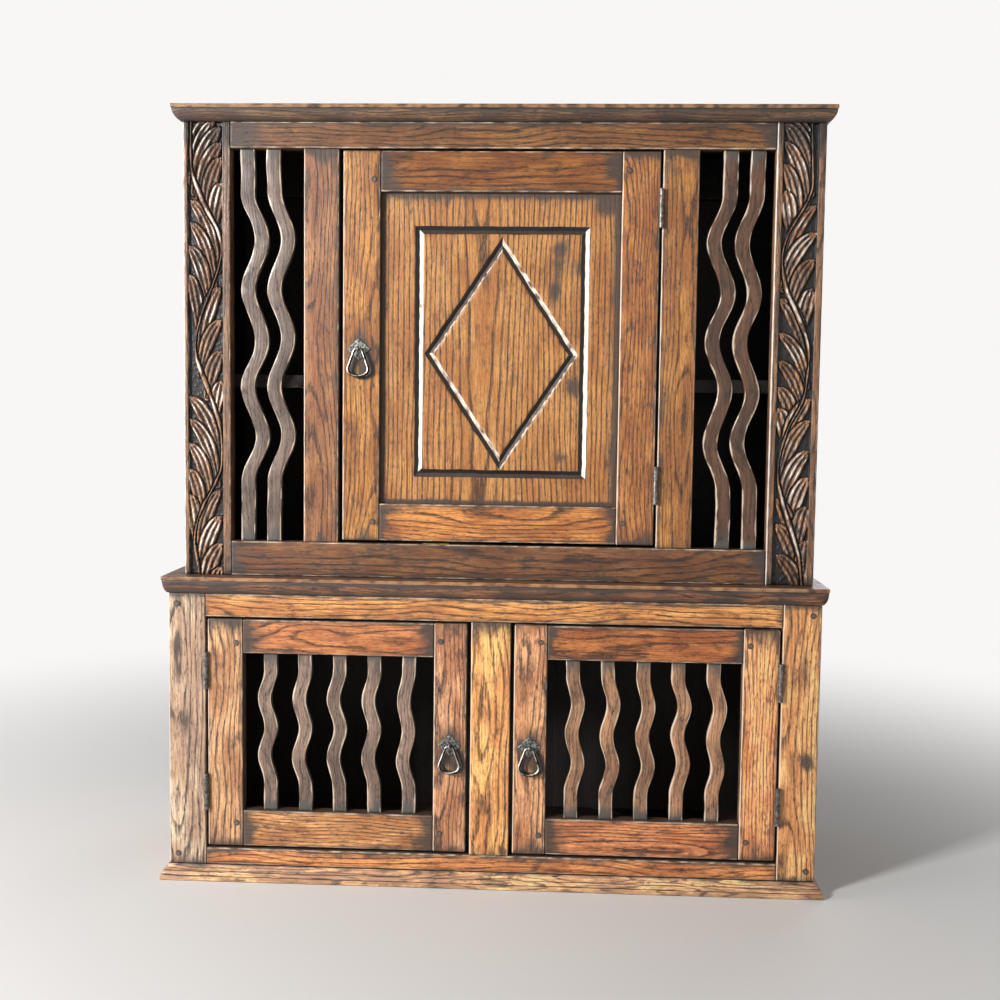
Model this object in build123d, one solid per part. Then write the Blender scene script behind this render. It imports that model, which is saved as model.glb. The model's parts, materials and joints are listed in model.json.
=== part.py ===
from build123d import *
import os
from math import atan2, hypot, pi, tan

# An oak wall cabinet in two tiers, pegged together. The narrower upper tier has a grooved
# panelled door between two bays of wavy slats. The wider lower tier has two doors with wavy
# slats in them. Millimetres; X to the right, Y to the back, Z up. The origin is on the
# underside of the base, in the middle of the lower tier's width and depth.

os.makedirs("parts", exist_ok=True)

# Overall widths and depths
lower_width = 865.0
lower_depth = 300.0
upper_inset = 13.25      # each end of the upper tier stands this far inside the lower one's
upper_setback = 20.0     # the upper face stands this far behind the lower one
upper_shift = 4.0        # the upper tier stands this far right of the lower tier's middle

# Heights, from the floor up
base_thick = 20.0
lower_foot_rail = 23.0
lower_opening = 315.0
lower_head_rail = 31.5
ledge_thick = 22.5
upper_foot_rail = 46.5
upper_opening = 518.0
upper_head_rail = 34.5
cornice_thick = 20.5

# Timbers of the two carcases
frame_thick = 24.0
carved_stile = 63.5
bay_width = 97.5
upper_muntin = 47.5
lower_stile = 50.5
lower_muntin = 53.0
side_thick = 18.0
side_tongue_depth = 8.0
side_tongue_thick = 6.0
back_thick = 10.0
back_rebate = 9.0
back_board_gap = 0.5
upper_back_boards = 5
lower_back_boards = 5
back_rail_height = 60.0
back_rail_thick = 20.0
wall_hole_radius = 3.0
wall_hole_spacing = 600.0
wall_hole_drop = 30.0    # below the underside of the cornice
shelf_thick = 18.0
shelf_rise = 252.0       # underside of the shelf above the ledge
shelf_front_gap = 30.0   # from the back of the face frame to the shelf
bearer_height = 22.0
bearer_thick = 16.0

# Moulded edges of base, ledge and cornice
base_reach = 11.5
base_nosing = 6.5
base_quirk = 1.5         # how far the ogee starts outside the carcase
ledge_reach = 8.0
cornice_reach = 12.5
top_nosing = 5.0
nosing_lip = 1.0
quarter_share = 0.5523   # handles of a curve that follows a quarter of an ellipse

# Doors
door_thick = 22.0
door_head_gap = 2.5
door_foot_gap = 3.5
lock_gap = 4.5
upper_door_stile = 50.0
upper_door_head = 53.0
upper_door_foot = 50.0
lower_hinge_stile = 48.0
lower_lock_stile = 44.5
lower_door_head = 46.0
lower_door_foot = 49.0

# Panel of the upper door and the figure grooved into it
panel_setback = 9.0
panel_thick = 10.0
panel_tongue = 5.0
figure_side_inset = 47.5 # from the door's stiles to the middle of the rectangle's groove
figure_end_inset = 44.5  # and from its rails
figure_shift = 3.0       # to the right of the panel's middle
figure_drop = 3.0        # below the panel's middle
diamond_side_inset = 14.5  # from the rectangle to the diamond's corners
diamond_end_inset = 17.0
groove_width = 10.0
groove_depth = 3.5

# Mortise and tenon joints and their pegs
tenon_thick = 8.0
tenon_length = 30.0
tenon_shoulder = panel_tongue + 1.5
muntin_tenon = 14.0
mortise_spare = 2.0      # empty length at the bottom of a mortise
joint_play = 0.1
peg_radius = 4.0
peg_proud = 1.0
peg_inset = 9.0          # from the shoulder of the joint
peg_floor = 3.0          # wood left behind a peg
peg_chamfer = 0.8
side_peg_inset = 12.0    # pegs that hold the lower stiles to the sides
side_peg_rise = 14.0
side_peg_length = 44.0

# Height of each door's pegs as shares of the rail: left foot, right foot, left head, right head
upper_peg_shares = (0.51, 0.57, 0.30, 0.54)
lower_left_peg_shares = (0.65, 0.50, 0.31, 0.47)
lower_right_peg_shares = (0.53, 0.50, 0.51, 0.53)

# Wavy slats
slat_setback = 7.0
slat_thick = 10.0
slat_stub = 8.0
upper_slat_width = 20.0
upper_slat_spacing_share = 0.36  # of the bay's width
upper_slat_swing = 9.5
upper_slat_wave_share = 0.248    # of the slat's height
upper_slat_waves = 3
upper_slat_top_share = 0.106     # straight run above the waves, of the slat's height
lower_slat_width = 19.0
lower_slat_spacing_share = 0.1824  # of the width between the door's stiles
lower_slat_count = 5
lower_slat_swing = 4.2
lower_slat_wave_share = 0.3715
lower_slat_waves = 2
lower_slat_top_share = 0.103
lower_slat_shift = 2.8   # the row of slats stands this far towards the hinges
wave_pull_share = 0.364  # handles of a half wave's Bezier curve, of its height

# Butt hinges
hinge_length = 50.0
leaf_thick = 1.5
leaf_let_in = 0.5
leaf_width = 18.0
leaf_clearance = 0.5     # between the two leaves of a shut hinge
knuckle_radius = 3.2
knuckle_count = 5
knuckle_play = 0.3
knuckle_standoff = 0.3   # from the face of the timbers to the knuckles
pin_radius = 1.6
pin_play = 0.05
upper_hinge_drop = 73.0  # hinge's middle below the top of the door
upper_hinge_rise = 79.5  # and above its foot
lower_hinge_drop = 69.0
lower_hinge_rise = 74.5
hinge_recess_play = 0.1

# Screws and nails
screw_radius = 1.5
screw_head_radius = 3.0
screw_length = 15.0
screw_spacing = 17.0
screw_inset = 10.0
fastener_play = 0.05
nail_radius = 0.9
nail_head_radius = 1.9
nail_head = 1.0
nail_length = 13.0
nail_offset = 11.0

# Pear-shaped pulls
handle_inset = 22.0      # from the lock edge of the door
upper_handle_drop = 2.0  # below the middle of the door
lower_handle_drop = 9.0
plate_width = 33.0
plate_height = 31.0
plate_thick = 1.8
plate_bevel = 0.6
pull_standoff = 8.0      # pull's axis in front of the door
pull_bar_radius = 1.7
pull_play = 0.1
pull_top_half = 4.6
pull_low_half = 15.4
pull_low_drop = 30.5
pull_drop = 37.5

# How much of the shorter side each bend of the pull takes: at its top, low and foot corners
pull_bend_shares = (0.345, 0.43, 0.54)

# The eye that carries the pull, and the legs that are clinched behind the stile
eye_radius = 3.9
eye_thick = 2.6
shank_height = 3.6
clinch_reach = 9.0
clinch_thick = 1.4

# Striking plate of the catch under the upper door
catch_length = 36.0
catch_width = 10.0
catch_thick = 1.4
catch_let_in = 0.6
catch_setback = 1.5
catch_place_share = 0.303  # middle of the plate, along the door's width from its lock edge

overrun = 1.0            # how far a cut runs past the surface that it opens

# Levels and planes worked out from the sizes above
z_base = base_thick
z_lower_foot = z_base + lower_foot_rail
z_lower_head = z_lower_foot + lower_opening
z_ledge = z_lower_head + lower_head_rail
z_upper = z_ledge + ledge_thick
z_upper_foot = z_upper + upper_foot_rail
z_upper_head = z_upper_foot + upper_opening
z_cornice = z_upper_head + upper_head_rail
z_top = z_cornice + cornice_thick
y_lower = -lower_depth / 2
y_upper = y_lower + upper_setback
y_back = lower_depth / 2
lower_half = lower_width / 2
upper_half = lower_half - upper_inset
doorway_half = upper_half - carved_stile - bay_width - upper_muntin
lower_clear_half = lower_half - lower_stile
hinge_gap = leaf_clearance + 2 * (leaf_thick - leaf_let_in)
pin_proud = knuckle_radius + knuckle_standoff
knuckle_length = hinge_length / knuckle_count


def block(x0, x1, y0, y1, z0, z1):
    """A squared timber between two opposite corners."""
    size = Box(abs(x1 - x0), abs(y1 - y0), abs(z1 - z0))
    return Pos((x0 + x1) / 2, (y0 + y1) / 2, (z0 + z1) / 2) * size


def rod_y(x, y0, y1, z, radius):
    """A round bar along Y."""
    return Pos(x, (y0 + y1) / 2, z) * Rot(90, 0, 0) * Cylinder(radius, abs(y1 - y0))


def rod_z(x, y, z0, z1, radius):
    """A round bar along Z."""
    return Pos(x, y, (z0 + z1) / 2) * Cylinder(radius, abs(z1 - z0))


def rod_x(x0, x1, y, z, radius):
    """A round bar along X."""
    return Pos((x0 + x1) / 2, y, z) * Rot(0, 90, 0) * Cylinder(radius, abs(x1 - x0))


def cut(timber, tools):
    """The timber with each of the tools taken out of it."""
    for tool in tools:
        timber = timber - tool
    return timber


def save(name, solids, shift=0.0):
    """Writes one node, moved sideways by shift."""
    moved = [Pos(shift, 0, 0) * solid for solid in solids]
    shape = moved[0] if len(moved) == 1 else Compound(children=moved)
    export_step(shape, f"parts/{name}.step")


def mirrored(solids):
    """The same pieces on the other side of the middle."""
    return [solid.mirror(Plane.YZ) for solid in solids]


# Joints

def rail_tenon(x, side, z0, z1, y_mid, play=0.0, spare=0.0):
    """A tenon along X on the end of a rail, out of shoulder x; side is 1 or -1."""
    end = x + side * (tenon_length + spare)
    half = tenon_thick / 2 + play
    return block(x, end, y_mid - half, y_mid + half, z0 + tenon_shoulder - play, z1 - tenon_shoulder + play)


def muntin_tenons(x0, x1, z0, z1, y_mid, play=0.0, spare=0.0):
    """The tenon pieces above and below a muntin."""
    half = tenon_thick / 2 + play
    reach = muntin_tenon + spare
    left, right = x0 + tenon_shoulder - play, x1 - tenon_shoulder + play
    foot = block(left, right, y_mid - half, y_mid + half, z0 - reach, z0)
    head = block(left, right, y_mid - half, y_mid + half, z1, z1 + reach)
    return [foot, head]


def peg(x, z, y_face, length, play=0.0):
    """A round peg driven in from the front; as a cutter it has some play and no head."""
    if play:
        return rod_y(x, y_face - overrun, y_face + length + play, z, peg_radius + play)
    body = rod_y(x, y_face - peg_proud, y_face + length, z, peg_radius)
    rim = body.edges().filter_by(GeomType.CIRCLE).sort_by(Axis.Y)[0]
    return chamfer(rim, peg_chamfer)


def joined_frame(x0, x1, z0, z1, y_face, thick, left, right, foot, head):
    """Two stiles and two rails, mortised and tenoned: left, right, foot and head timbers."""
    y1 = y_face + thick
    y_mid = y_face + thick / 2
    a, b = x0 + left, x1 - right
    bands = [(z0, z0 + foot), (z1 - head, z1)]
    stiles = [block(x0, a, y_face, y1, z0, z1), block(b, x1, y_face, y1, z0, z1)]
    rails = []
    for low, high in bands:
        rail = block(a, b, y_face, y1, low, high)
        rail = rail + rail_tenon(a, -1, low, high, y_mid) + rail_tenon(b, 1, low, high, y_mid)
        rails.append(rail)
    for low, high in bands:
        stiles[0] = stiles[0] - rail_tenon(a, -1, low, high, y_mid, joint_play, mortise_spare)
        stiles[1] = stiles[1] - rail_tenon(b, 1, low, high, y_mid, joint_play, mortise_spare)
    return {"left": stiles[0], "right": stiles[1], "foot": rails[0], "head": rails[1]}


def frame_pegs(x0, x1, z0, z1, left, right, foot, head, shares):
    """Where a door's four pegs go: left foot, right foot, left head, right head."""
    inner = [x0 + left - peg_inset, x1 - right + peg_inset]
    low = [z0 + share * foot for share in shares[:2]]
    high = [z1 - head + share * head for share in shares[2:]]
    return list(zip(inner + inner, low + high))


# Moulded boards

def ovolo_edge(x, side, z0, z1, reach):
    """Edge of ledge and cornice: a quarter-round under a square nosing, as a line from z0 to z1."""
    shoulder = z1 - top_nosing
    out = x + side * reach
    inner = out - side * nosing_lip
    low_handle = x + quarter_share * (inner - x)
    high_handle = shoulder - quarter_share * (shoulder - z0)
    curve = Bezier((x, z0), (low_handle, z0), (inner, high_handle), (inner, shoulder))
    nosing = Polyline((inner, shoulder), (out, shoulder), (out, z1), (x, z1), (x, z0))
    return make_face(Wire([curve] + nosing.edges()))


def ogee_edge(x, side, z0, z1, reach):
    """Edge of the base: an ogee above a square nosing."""
    shoulder = z0 + base_nosing
    out = x + side * reach
    inner = out - side * nosing_lip
    top = x + side * base_quirk
    middle = (shoulder + z1) / 2
    curve = Bezier((top, z1), (top, middle), (inner, middle), (inner, shoulder))
    nosing = Polyline((inner, shoulder), (out, shoulder), (out, z0), (x, z0), (x, z1), (top, z1))
    return make_face(Wire([curve] + nosing.edges()))


def moulded_board(half, y_face, z0, z1, reach, edge):
    """A board whose front and both ends carry the same moulding, mitred at the corners."""
    length = 2 * (half + reach)
    depth = y_back - y_face + reach
    front = make_face(Polyline((y_face, z0), (y_back, z0), (y_back, z1), (y_face, z1), (y_face, z0)))
    front = front + edge(y_face, -1, z0, z1, reach)
    along_x = extrude(Plane.YZ * front, length / 2, both=True)
    ends = make_face(Polyline((-half, z0), (half, z0), (half, z1), (-half, z1), (-half, z0)))
    ends = ends + edge(half, 1, z0, z1, reach) + edge(-half, -1, z0, z1, reach)
    along_y = Pos(0, y_back, 0) * extrude(Plane.XZ * ends, depth)
    return along_x & along_y


# Carcases

def side_board(half, y_face, z0, z1, play=0.0):
    """The right side board with its front tongue, rebated for the back boards."""
    y_front = y_face + frame_thick
    inner = half - side_thick
    board = block(inner, half, y_front, y_back, z0, z1)
    board = board - block(inner - overrun, inner + back_rebate, y_back - back_thick, y_back + overrun,
                          z0 - overrun, z1 + overrun)
    return board + side_tongue(half, y_front, z0, z1, play)


def side_tongue(half, y_front, z0, z1, play=0.0):
    """The tongue that holds a side board in the groove of its stile."""
    middle = half - side_thick / 2
    wide = side_tongue_thick / 2 + play
    return block(middle - wide, middle + wide, y_front - side_tongue_depth - play, y_front, z0, z1)


def back_boards(half, count, z0, z1):
    """Upright boards side by side in the rebates of the two sides."""
    reach = half - side_thick + back_rebate - joint_play
    pitch = 2 * reach / count
    boards = []
    for i in range(count):
        x0 = -reach + i * pitch + back_board_gap / 2
        x1 = x0 + pitch - back_board_gap
        boards.append(block(x0, x1, y_back - back_thick, y_back, z0, z1))
    return boards


# Wavy slats

def wavy_slat(x, side, z0, z1, y_face, width, swing, wave_share, waves, top_share):
    """One slat: straight at both ends, out at the side that side names, with waves between.

    Its edges follow x + side * swing * cos(2 pi (z_start - z) / wave), half a width to each side.
    Each half wave is one Bezier curve that leaves and enters its ends upright.
    """
    wave = wave_share * (z1 - z0)
    half_wave = wave / 2
    pull = wave_pull_share * half_wave
    z_start = z1 - top_share * (z1 - z0)
    z_end = z_start - waves * wave
    out = x + side * swing
    edges = []
    for hand in (-1, 1):
        shift = hand * width / 2
        place, next_place = out + shift, x - side * swing + shift
        for i in range(2 * waves):
            z = z_start - i * half_wave
            ends = [(place, z), (place, z - pull)]
            ends += [(next_place, z - half_wave + pull), (next_place, z - half_wave)]
            edges.append(Bezier(*ends))
            place, next_place = next_place, place
        edges.append(Line((out + shift, z1 + slat_stub), (out + shift, z_start)))
        edges.append(Line((out + shift, z_end), (out + shift, z0 - slat_stub)))
    left, right = out - width / 2, out + width / 2
    edges.append(Line((left, z1 + slat_stub), (right, z1 + slat_stub)))
    edges.append(Line((left, z0 - slat_stub), (right, z0 - slat_stub)))
    outline = make_face(Wire(edges))
    return Pos(0, y_face + slat_setback + slat_thick, 0) * extrude(Plane.XZ * outline, slat_thick)


def slat_ends(x, side, z0, z1, y_face, width, swing):
    """The sockets that a slat's two ends need in the rails."""
    out = x + side * swing
    half = width / 2 + joint_play
    y0 = y_face + slat_setback - joint_play
    y1 = y_face + slat_setback + slat_thick + joint_play
    reach = slat_stub + joint_play
    foot = block(out - half, out + half, y0, y1, z0 - reach, z0 + overrun)
    head = block(out - half, out + half, y0, y1, z1 - overrun, z1 + reach)
    return [foot, head]


# Hinges, drawn for a door that lies to the left of its pin (hand 1) or to the right (hand -1)

def hinge_leaf(pin_x, pin_y, y_face, z_mid, toward, numbers):
    """One leaf with its own knuckles; toward is the side of the pin that it lies on."""
    z0, z1 = z_mid - hinge_length / 2, z_mid + hinge_length / 2
    near = pin_x + toward * leaf_clearance / 2
    far = near + toward * leaf_thick
    leaf = block(near, far, y_face, y_face + leaf_width, z0, z1)
    for number in numbers:
        low = z0 + number * knuckle_length + (knuckle_play / 2 if number else 0)
        last = number == knuckle_count - 1
        high = z0 + (number + 1) * knuckle_length - (0 if last else knuckle_play / 2)
        leaf = leaf + block(near, far, pin_y, y_face + leaf_thick, low, high)
        leaf = leaf + rod_z(pin_x, pin_y, low, high, knuckle_radius)
    return leaf - rod_z(pin_x, pin_y, z0 - overrun, z1 + overrun, pin_radius + pin_play)


def leaf_recess(pin_x, y_face, z_mid, toward):
    """The recess in the wood under a leaf."""
    play = hinge_recess_play
    far = pin_x + toward * (leaf_clearance / 2 + leaf_thick)
    half = hinge_length / 2 + play
    return block(pin_x, far, y_face - overrun, y_face + leaf_width + play, z_mid - half, z_mid + half)


def hinge_screw(pin_x, y, z, toward, play=0.0):
    """A countersunk screw through a leaf, flush with the leaf's inner side."""
    near = pin_x + toward * leaf_clearance / 2
    far = near + toward * leaf_thick
    tip = near + toward * (screw_length + play)
    head = Cone(screw_head_radius + play, screw_radius + play, leaf_thick)
    head = Pos((near + far) / 2, y, z) * Rot(0, 90 * toward, 0) * head
    return head + rod_x(far, tip, y, z, screw_radius + play)


def leaf_screws(pin_x, y_face, z_mid, toward, play=0.0):
    """The three screws of one leaf."""
    y = y_face + screw_inset
    return [hinge_screw(pin_x, y, z_mid + k * screw_spacing, toward, play) for k in (-1, 0, 1)]


def hinge_set(pin_x, pin_y, y_face, heights, hand):
    """Both hinges of a door: leaves, pins, screws and what they cut from the wood."""
    parts = {"frame_leaves": [], "door_leaves": [], "pins": [], "frame_screws": [], "door_screws": [],
             "frame_cuts": [], "door_cuts": []}
    every = range(knuckle_count)
    for z in heights:
        for part, toward, numbers in (("frame", hand, every[::2]), ("door", -hand, every[1::2])):
            leaf = hinge_leaf(pin_x, pin_y, y_face, z, toward, numbers)
            holes = leaf_screws(pin_x, y_face, z, toward, fastener_play)
            parts[part + "_leaves"].append(cut(leaf, holes))
            parts[part + "_screws"] += leaf_screws(pin_x, y_face, z, toward)
            parts[part + "_cuts"] += [leaf_recess(pin_x, y_face, z, toward)] + holes
        parts["pins"].append(rod_z(pin_x, pin_y, z - hinge_length / 2, z + hinge_length / 2, pin_radius))
    return parts


# Pear-shaped pulls

def staple(x, y_face, z, play=0.0):
    """The eye that the pull hangs in, its shank through the stile and its clinched legs."""
    y_axis = y_face - pull_standoff
    y_inside = y_face + door_thick
    half = eye_thick / 2 + play
    tall = shank_height / 2 + play
    shank = block(x - half, x + half, y_axis, y_inside + clinch_thick, z - tall, z + tall)
    if play:
        return shank
    ring = rod_x(x - half, x + half, y_axis, z, eye_radius)
    legs = block(x - half, x + half, y_inside, y_inside + clinch_thick, z - clinch_reach, z + clinch_reach)
    bore = rod_x(x - half - overrun, x + half + overrun, y_axis, z, pull_bar_radius + pull_play)
    return ring + shank + legs - bore


def pull_plate(x, y_face, z):
    """The diamond-shaped plate behind the pull, with its front edge bevelled."""
    half_w, half_h = plate_width / 2, plate_height / 2
    points = [(x - half_w, z), (x, z - half_h), (x + half_w, z), (x, z + half_h), (x - half_w, z)]
    plate = Pos(0, y_face, 0) * extrude(Plane.XZ * make_face(Polyline(*points)), plate_thick)
    front = plate.faces().sort_by(Axis.Y)[0]
    return chamfer(front.edges(), plate_bevel)


def plate_nail(x, y_face, z, play=0.0):
    """A nail with a low round head."""
    y_head = y_face - plate_thick
    shank = rod_y(x, y_head, y_face + nail_length + play, z, nail_radius + play)
    if play:
        return shank
    head = rod_y(x, y_head - nail_head, y_head, z, nail_head_radius)
    rim = head.edges().filter_by(GeomType.CIRCLE).sort_by(Axis.Y)[0]
    return fillet(rim, nail_head * 0.8) + shank


def bend_radius(before, corner, after, share):
    """Radius of the bend at a corner that starts a share of the shorter side away from it."""
    (x0, z0), (x1, z1), (x2, z2) = before, corner, after
    turn = atan2(z2 - z1, x2 - x1) - atan2(z1 - z0, x1 - x0)
    turn = abs((turn + pi) % (2 * pi) - pi)
    shorter = min(hypot(x1 - x0, z1 - z0), hypot(x2 - x1, z2 - z1))
    return share * shorter / tan(turn / 2)


def pear_pull(x, y_face, z):
    """The pear-shaped loop: a round bar along a closed line with bent corners."""
    corners = [(pull_top_half, 0), (pull_low_half, -pull_low_drop), (0, -pull_drop),
               (-pull_low_half, -pull_low_drop), (-pull_top_half, 0)]
    top, low, foot = pull_bend_shares
    bends = []
    for i, share in enumerate((top, low, foot, low, top)):
        bends.append(bend_radius(corners[i - 1], corners[i], corners[(i + 1) % len(corners)], share))
    path = (Plane.XZ * FilletPolyline(*corners, radius=bends, close=True)).wire()
    section = Plane(origin=path @ 0, z_dir=path % 0) * Circle(pull_bar_radius)
    return Pos(x, y_face - pull_standoff, z) * sweep(section, path=path)


def handle(x, y_face, z):
    """All pieces of one pull and what they cut from the stile."""
    heights = (z - nail_offset, z + nail_offset)
    holes = [plate_nail(x, y_face, h, fastener_play) for h in heights]
    slot = staple(x, y_face, z, joint_play)
    plate = cut(pull_plate(x, y_face, z), holes + [slot])
    nails = [plate_nail(x, y_face, h) for h in heights]
    eye = staple(x, y_face, z)
    return {"plate": [plate, eye], "nails": nails, "drop": [pear_pull(x, y_face, z)],
            "cuts": holes + [slot]}


# Infill of the doors

def groove_ring(x, z, outer, centre, inner, y):
    """A V-groove along a closed figure: the frustum out to its rim less the island inside."""
    def face(points, depth):
        return Pos(0, y + depth, 0) * (Plane.XZ * make_face(Polyline(*points, points[0])))
    trench = loft([face(outer, 0), face(centre, groove_depth)], ruled=True)
    island = loft([face(inner, 0), face(centre, groove_depth)], ruled=True)
    return Pos(x, 0, z) * (trench - island)


def rectangle_points(width, height, grow):
    """Corners of a rectangle whose sides are moved out by grow."""
    w, h = width / 2 + grow, height / 2 + grow
    return [(-w, -h), (w, -h), (w, h), (-w, h)]


def diamond_points(width, height, grow):
    """Corners of a diamond whose sides are moved out by grow."""
    w, h = width / 2, height / 2
    slant = hypot(w, h)
    w, h = w + grow * slant / h, h + grow * slant / w
    return [(-w, 0), (0, -h), (w, 0), (0, h)]


def grooved_panel(x0, x1, z0, z1, y_face):
    """The flat panel with a grooved rectangle and, inside it, a grooved diamond."""
    y = y_face + panel_setback
    t = panel_tongue
    panel = block(x0 - t, x1 + t, y, y + panel_thick, z0 - t, z1 + t)
    x = (x0 + x1) / 2 + figure_shift
    z = (z0 + z1) / 2 - figure_drop
    half = groove_width / 2
    width = x1 - x0 - 2 * figure_side_inset
    height = z1 - z0 - 2 * figure_end_inset
    figures = ((rectangle_points, width, height),
               (diamond_points, width - 2 * diamond_side_inset, height - 2 * diamond_end_inset))
    for points, width, height in figures:
        rings = [points(width, height, grow) for grow in (half, 0, -half)]
        panel = panel - groove_ring(x, z, *rings, y)
    return panel


def panel_space(x0, x1, z0, z1, y_face):
    """The groove that the panel's edges need, as one cutter."""
    y = y_face + panel_setback
    t = panel_tongue + joint_play
    return block(x0 - t, x1 + t, y - joint_play, y + panel_thick + joint_play, z0 - t, z1 + t)


def door(name, x0, x1, z0, z1, y_face, widths, shares, hinges, pull, infill, sockets, shift=0.0):
    """Cuts and writes every piece of one door."""
    left, right, foot, head = widths
    frame = joined_frame(x0, x1, z0, z1, y_face, door_thick, left, right, foot, head)
    places = frame_pegs(x0, x1, z0, z1, left, right, foot, head, shares)
    length = door_thick - peg_floor
    holes = [peg(x, z, y_face, length, joint_play) for x, z in places]
    pegs = [peg(x, z, y_face, length) for x, z in places]
    hinge_side, lock_side = ("right", "left") if hinges["hand"] > 0 else ("left", "right")
    cuts = {side: list(holes) + sockets for side in frame}
    cuts[hinge_side] = cuts[hinge_side] + hinges["door_cuts"]
    cuts[lock_side] = cuts[lock_side] + pull["cuts"]
    named = {hinge_side: "hinge_stile", lock_side: "lock_stile", "foot": "bottom_rail", "head": "top_rail"}
    for side, piece in named.items():
        save(f"{name}_{piece}", [cut(frame[side], cuts[side])], shift)
    for piece, solids in infill.items():
        save(f"{name}_{piece}", solids, shift)
    save(f"{name}_pegs", pegs, shift)
    save(f"{name}_hinge_leaves", hinges["door_leaves"], shift)
    save(f"{name}_screws_and_nails", hinges["door_screws"] + pull["nails"], shift)
    save(f"{name}_handle_plate", pull["plate"], shift)
    save(f"{name}_handle_drop", pull["drop"], shift)


# Places of the doors
upper_door_x0 = -doorway_half + lock_gap
upper_door_x1 = doorway_half - hinge_gap
upper_door_z0 = z_upper_foot + door_foot_gap
upper_door_z1 = z_upper_head - door_head_gap
lower_door_x0 = lower_muntin / 2 + lock_gap
lower_door_x1 = lower_clear_half - hinge_gap
lower_door_z0 = z_lower_foot + door_foot_gap
lower_door_z1 = z_lower_head - door_head_gap
upper_pin_x = doorway_half - hinge_gap / 2
upper_pin_y = y_upper - pin_proud
lower_pin_x = lower_clear_half - hinge_gap / 2
lower_pin_y = y_lower - pin_proud
upper_handle_x = upper_door_x0 + handle_inset
upper_handle_z = (upper_door_z0 + upper_door_z1) / 2 - upper_handle_drop
lower_handle_x = lower_door_x0 + handle_inset
lower_handle_z = (lower_door_z0 + lower_door_z1) / 2 - lower_handle_drop


def upper_door(hinges):
    """The grooved door of the upper tier, hung on its right side."""
    x0, x1, z0, z1 = upper_door_x0, upper_door_x1, upper_door_z0, upper_door_z1
    inner = (x0 + upper_door_stile, x1 - upper_door_stile, z0 + upper_door_foot, z1 - upper_door_head)
    infill = {"panel": [grooved_panel(*inner, y_upper)]}
    pull = handle(upper_handle_x, y_upper, upper_handle_z)
    widths = (upper_door_stile, upper_door_stile, upper_door_foot, upper_door_head)
    door("upper_door", x0, x1, z0, z1, y_upper, widths, upper_peg_shares, hinges, pull, infill,
         [panel_space(*inner, y_upper)], upper_shift)


def lower_door(name, hinges, hand, shares):
    """One slatted door of the lower tier; hand 1 is the right one, hung on its right side."""
    x0, x1, z0, z1 = lower_door_x0, lower_door_x1, lower_door_z0, lower_door_z1
    low, high = z0 + lower_door_foot, z1 - lower_door_head
    clear0, clear1 = x0 + lower_lock_stile, x1 - lower_hinge_stile
    middle = (clear0 + clear1) / 2 + lower_slat_shift
    spacing = lower_slat_spacing_share * (clear1 - clear0)
    first = -(lower_slat_count - 1) / 2
    slats, sockets = [], []
    for i in range(lower_slat_count):
        x = hand * (middle + (first + i) * spacing)
        place = (x, -hand, low, high, y_lower, lower_slat_width, lower_slat_swing)
        slats.append(wavy_slat(*place, lower_slat_wave_share, lower_slat_waves, lower_slat_top_share))
        sockets += slat_ends(*place)
    pull = handle(hand * lower_handle_x, y_lower, lower_handle_z)
    left, right = lower_lock_stile, lower_hinge_stile
    if hand < 0:
        x0, x1, left, right = -x1, -x0, right, left
    widths = (left, right, lower_door_foot, lower_door_head)
    door(name, x0, x1, z0, z1, y_lower, widths, shares, hinges, pull, {"slats": slats}, sockets)


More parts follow.
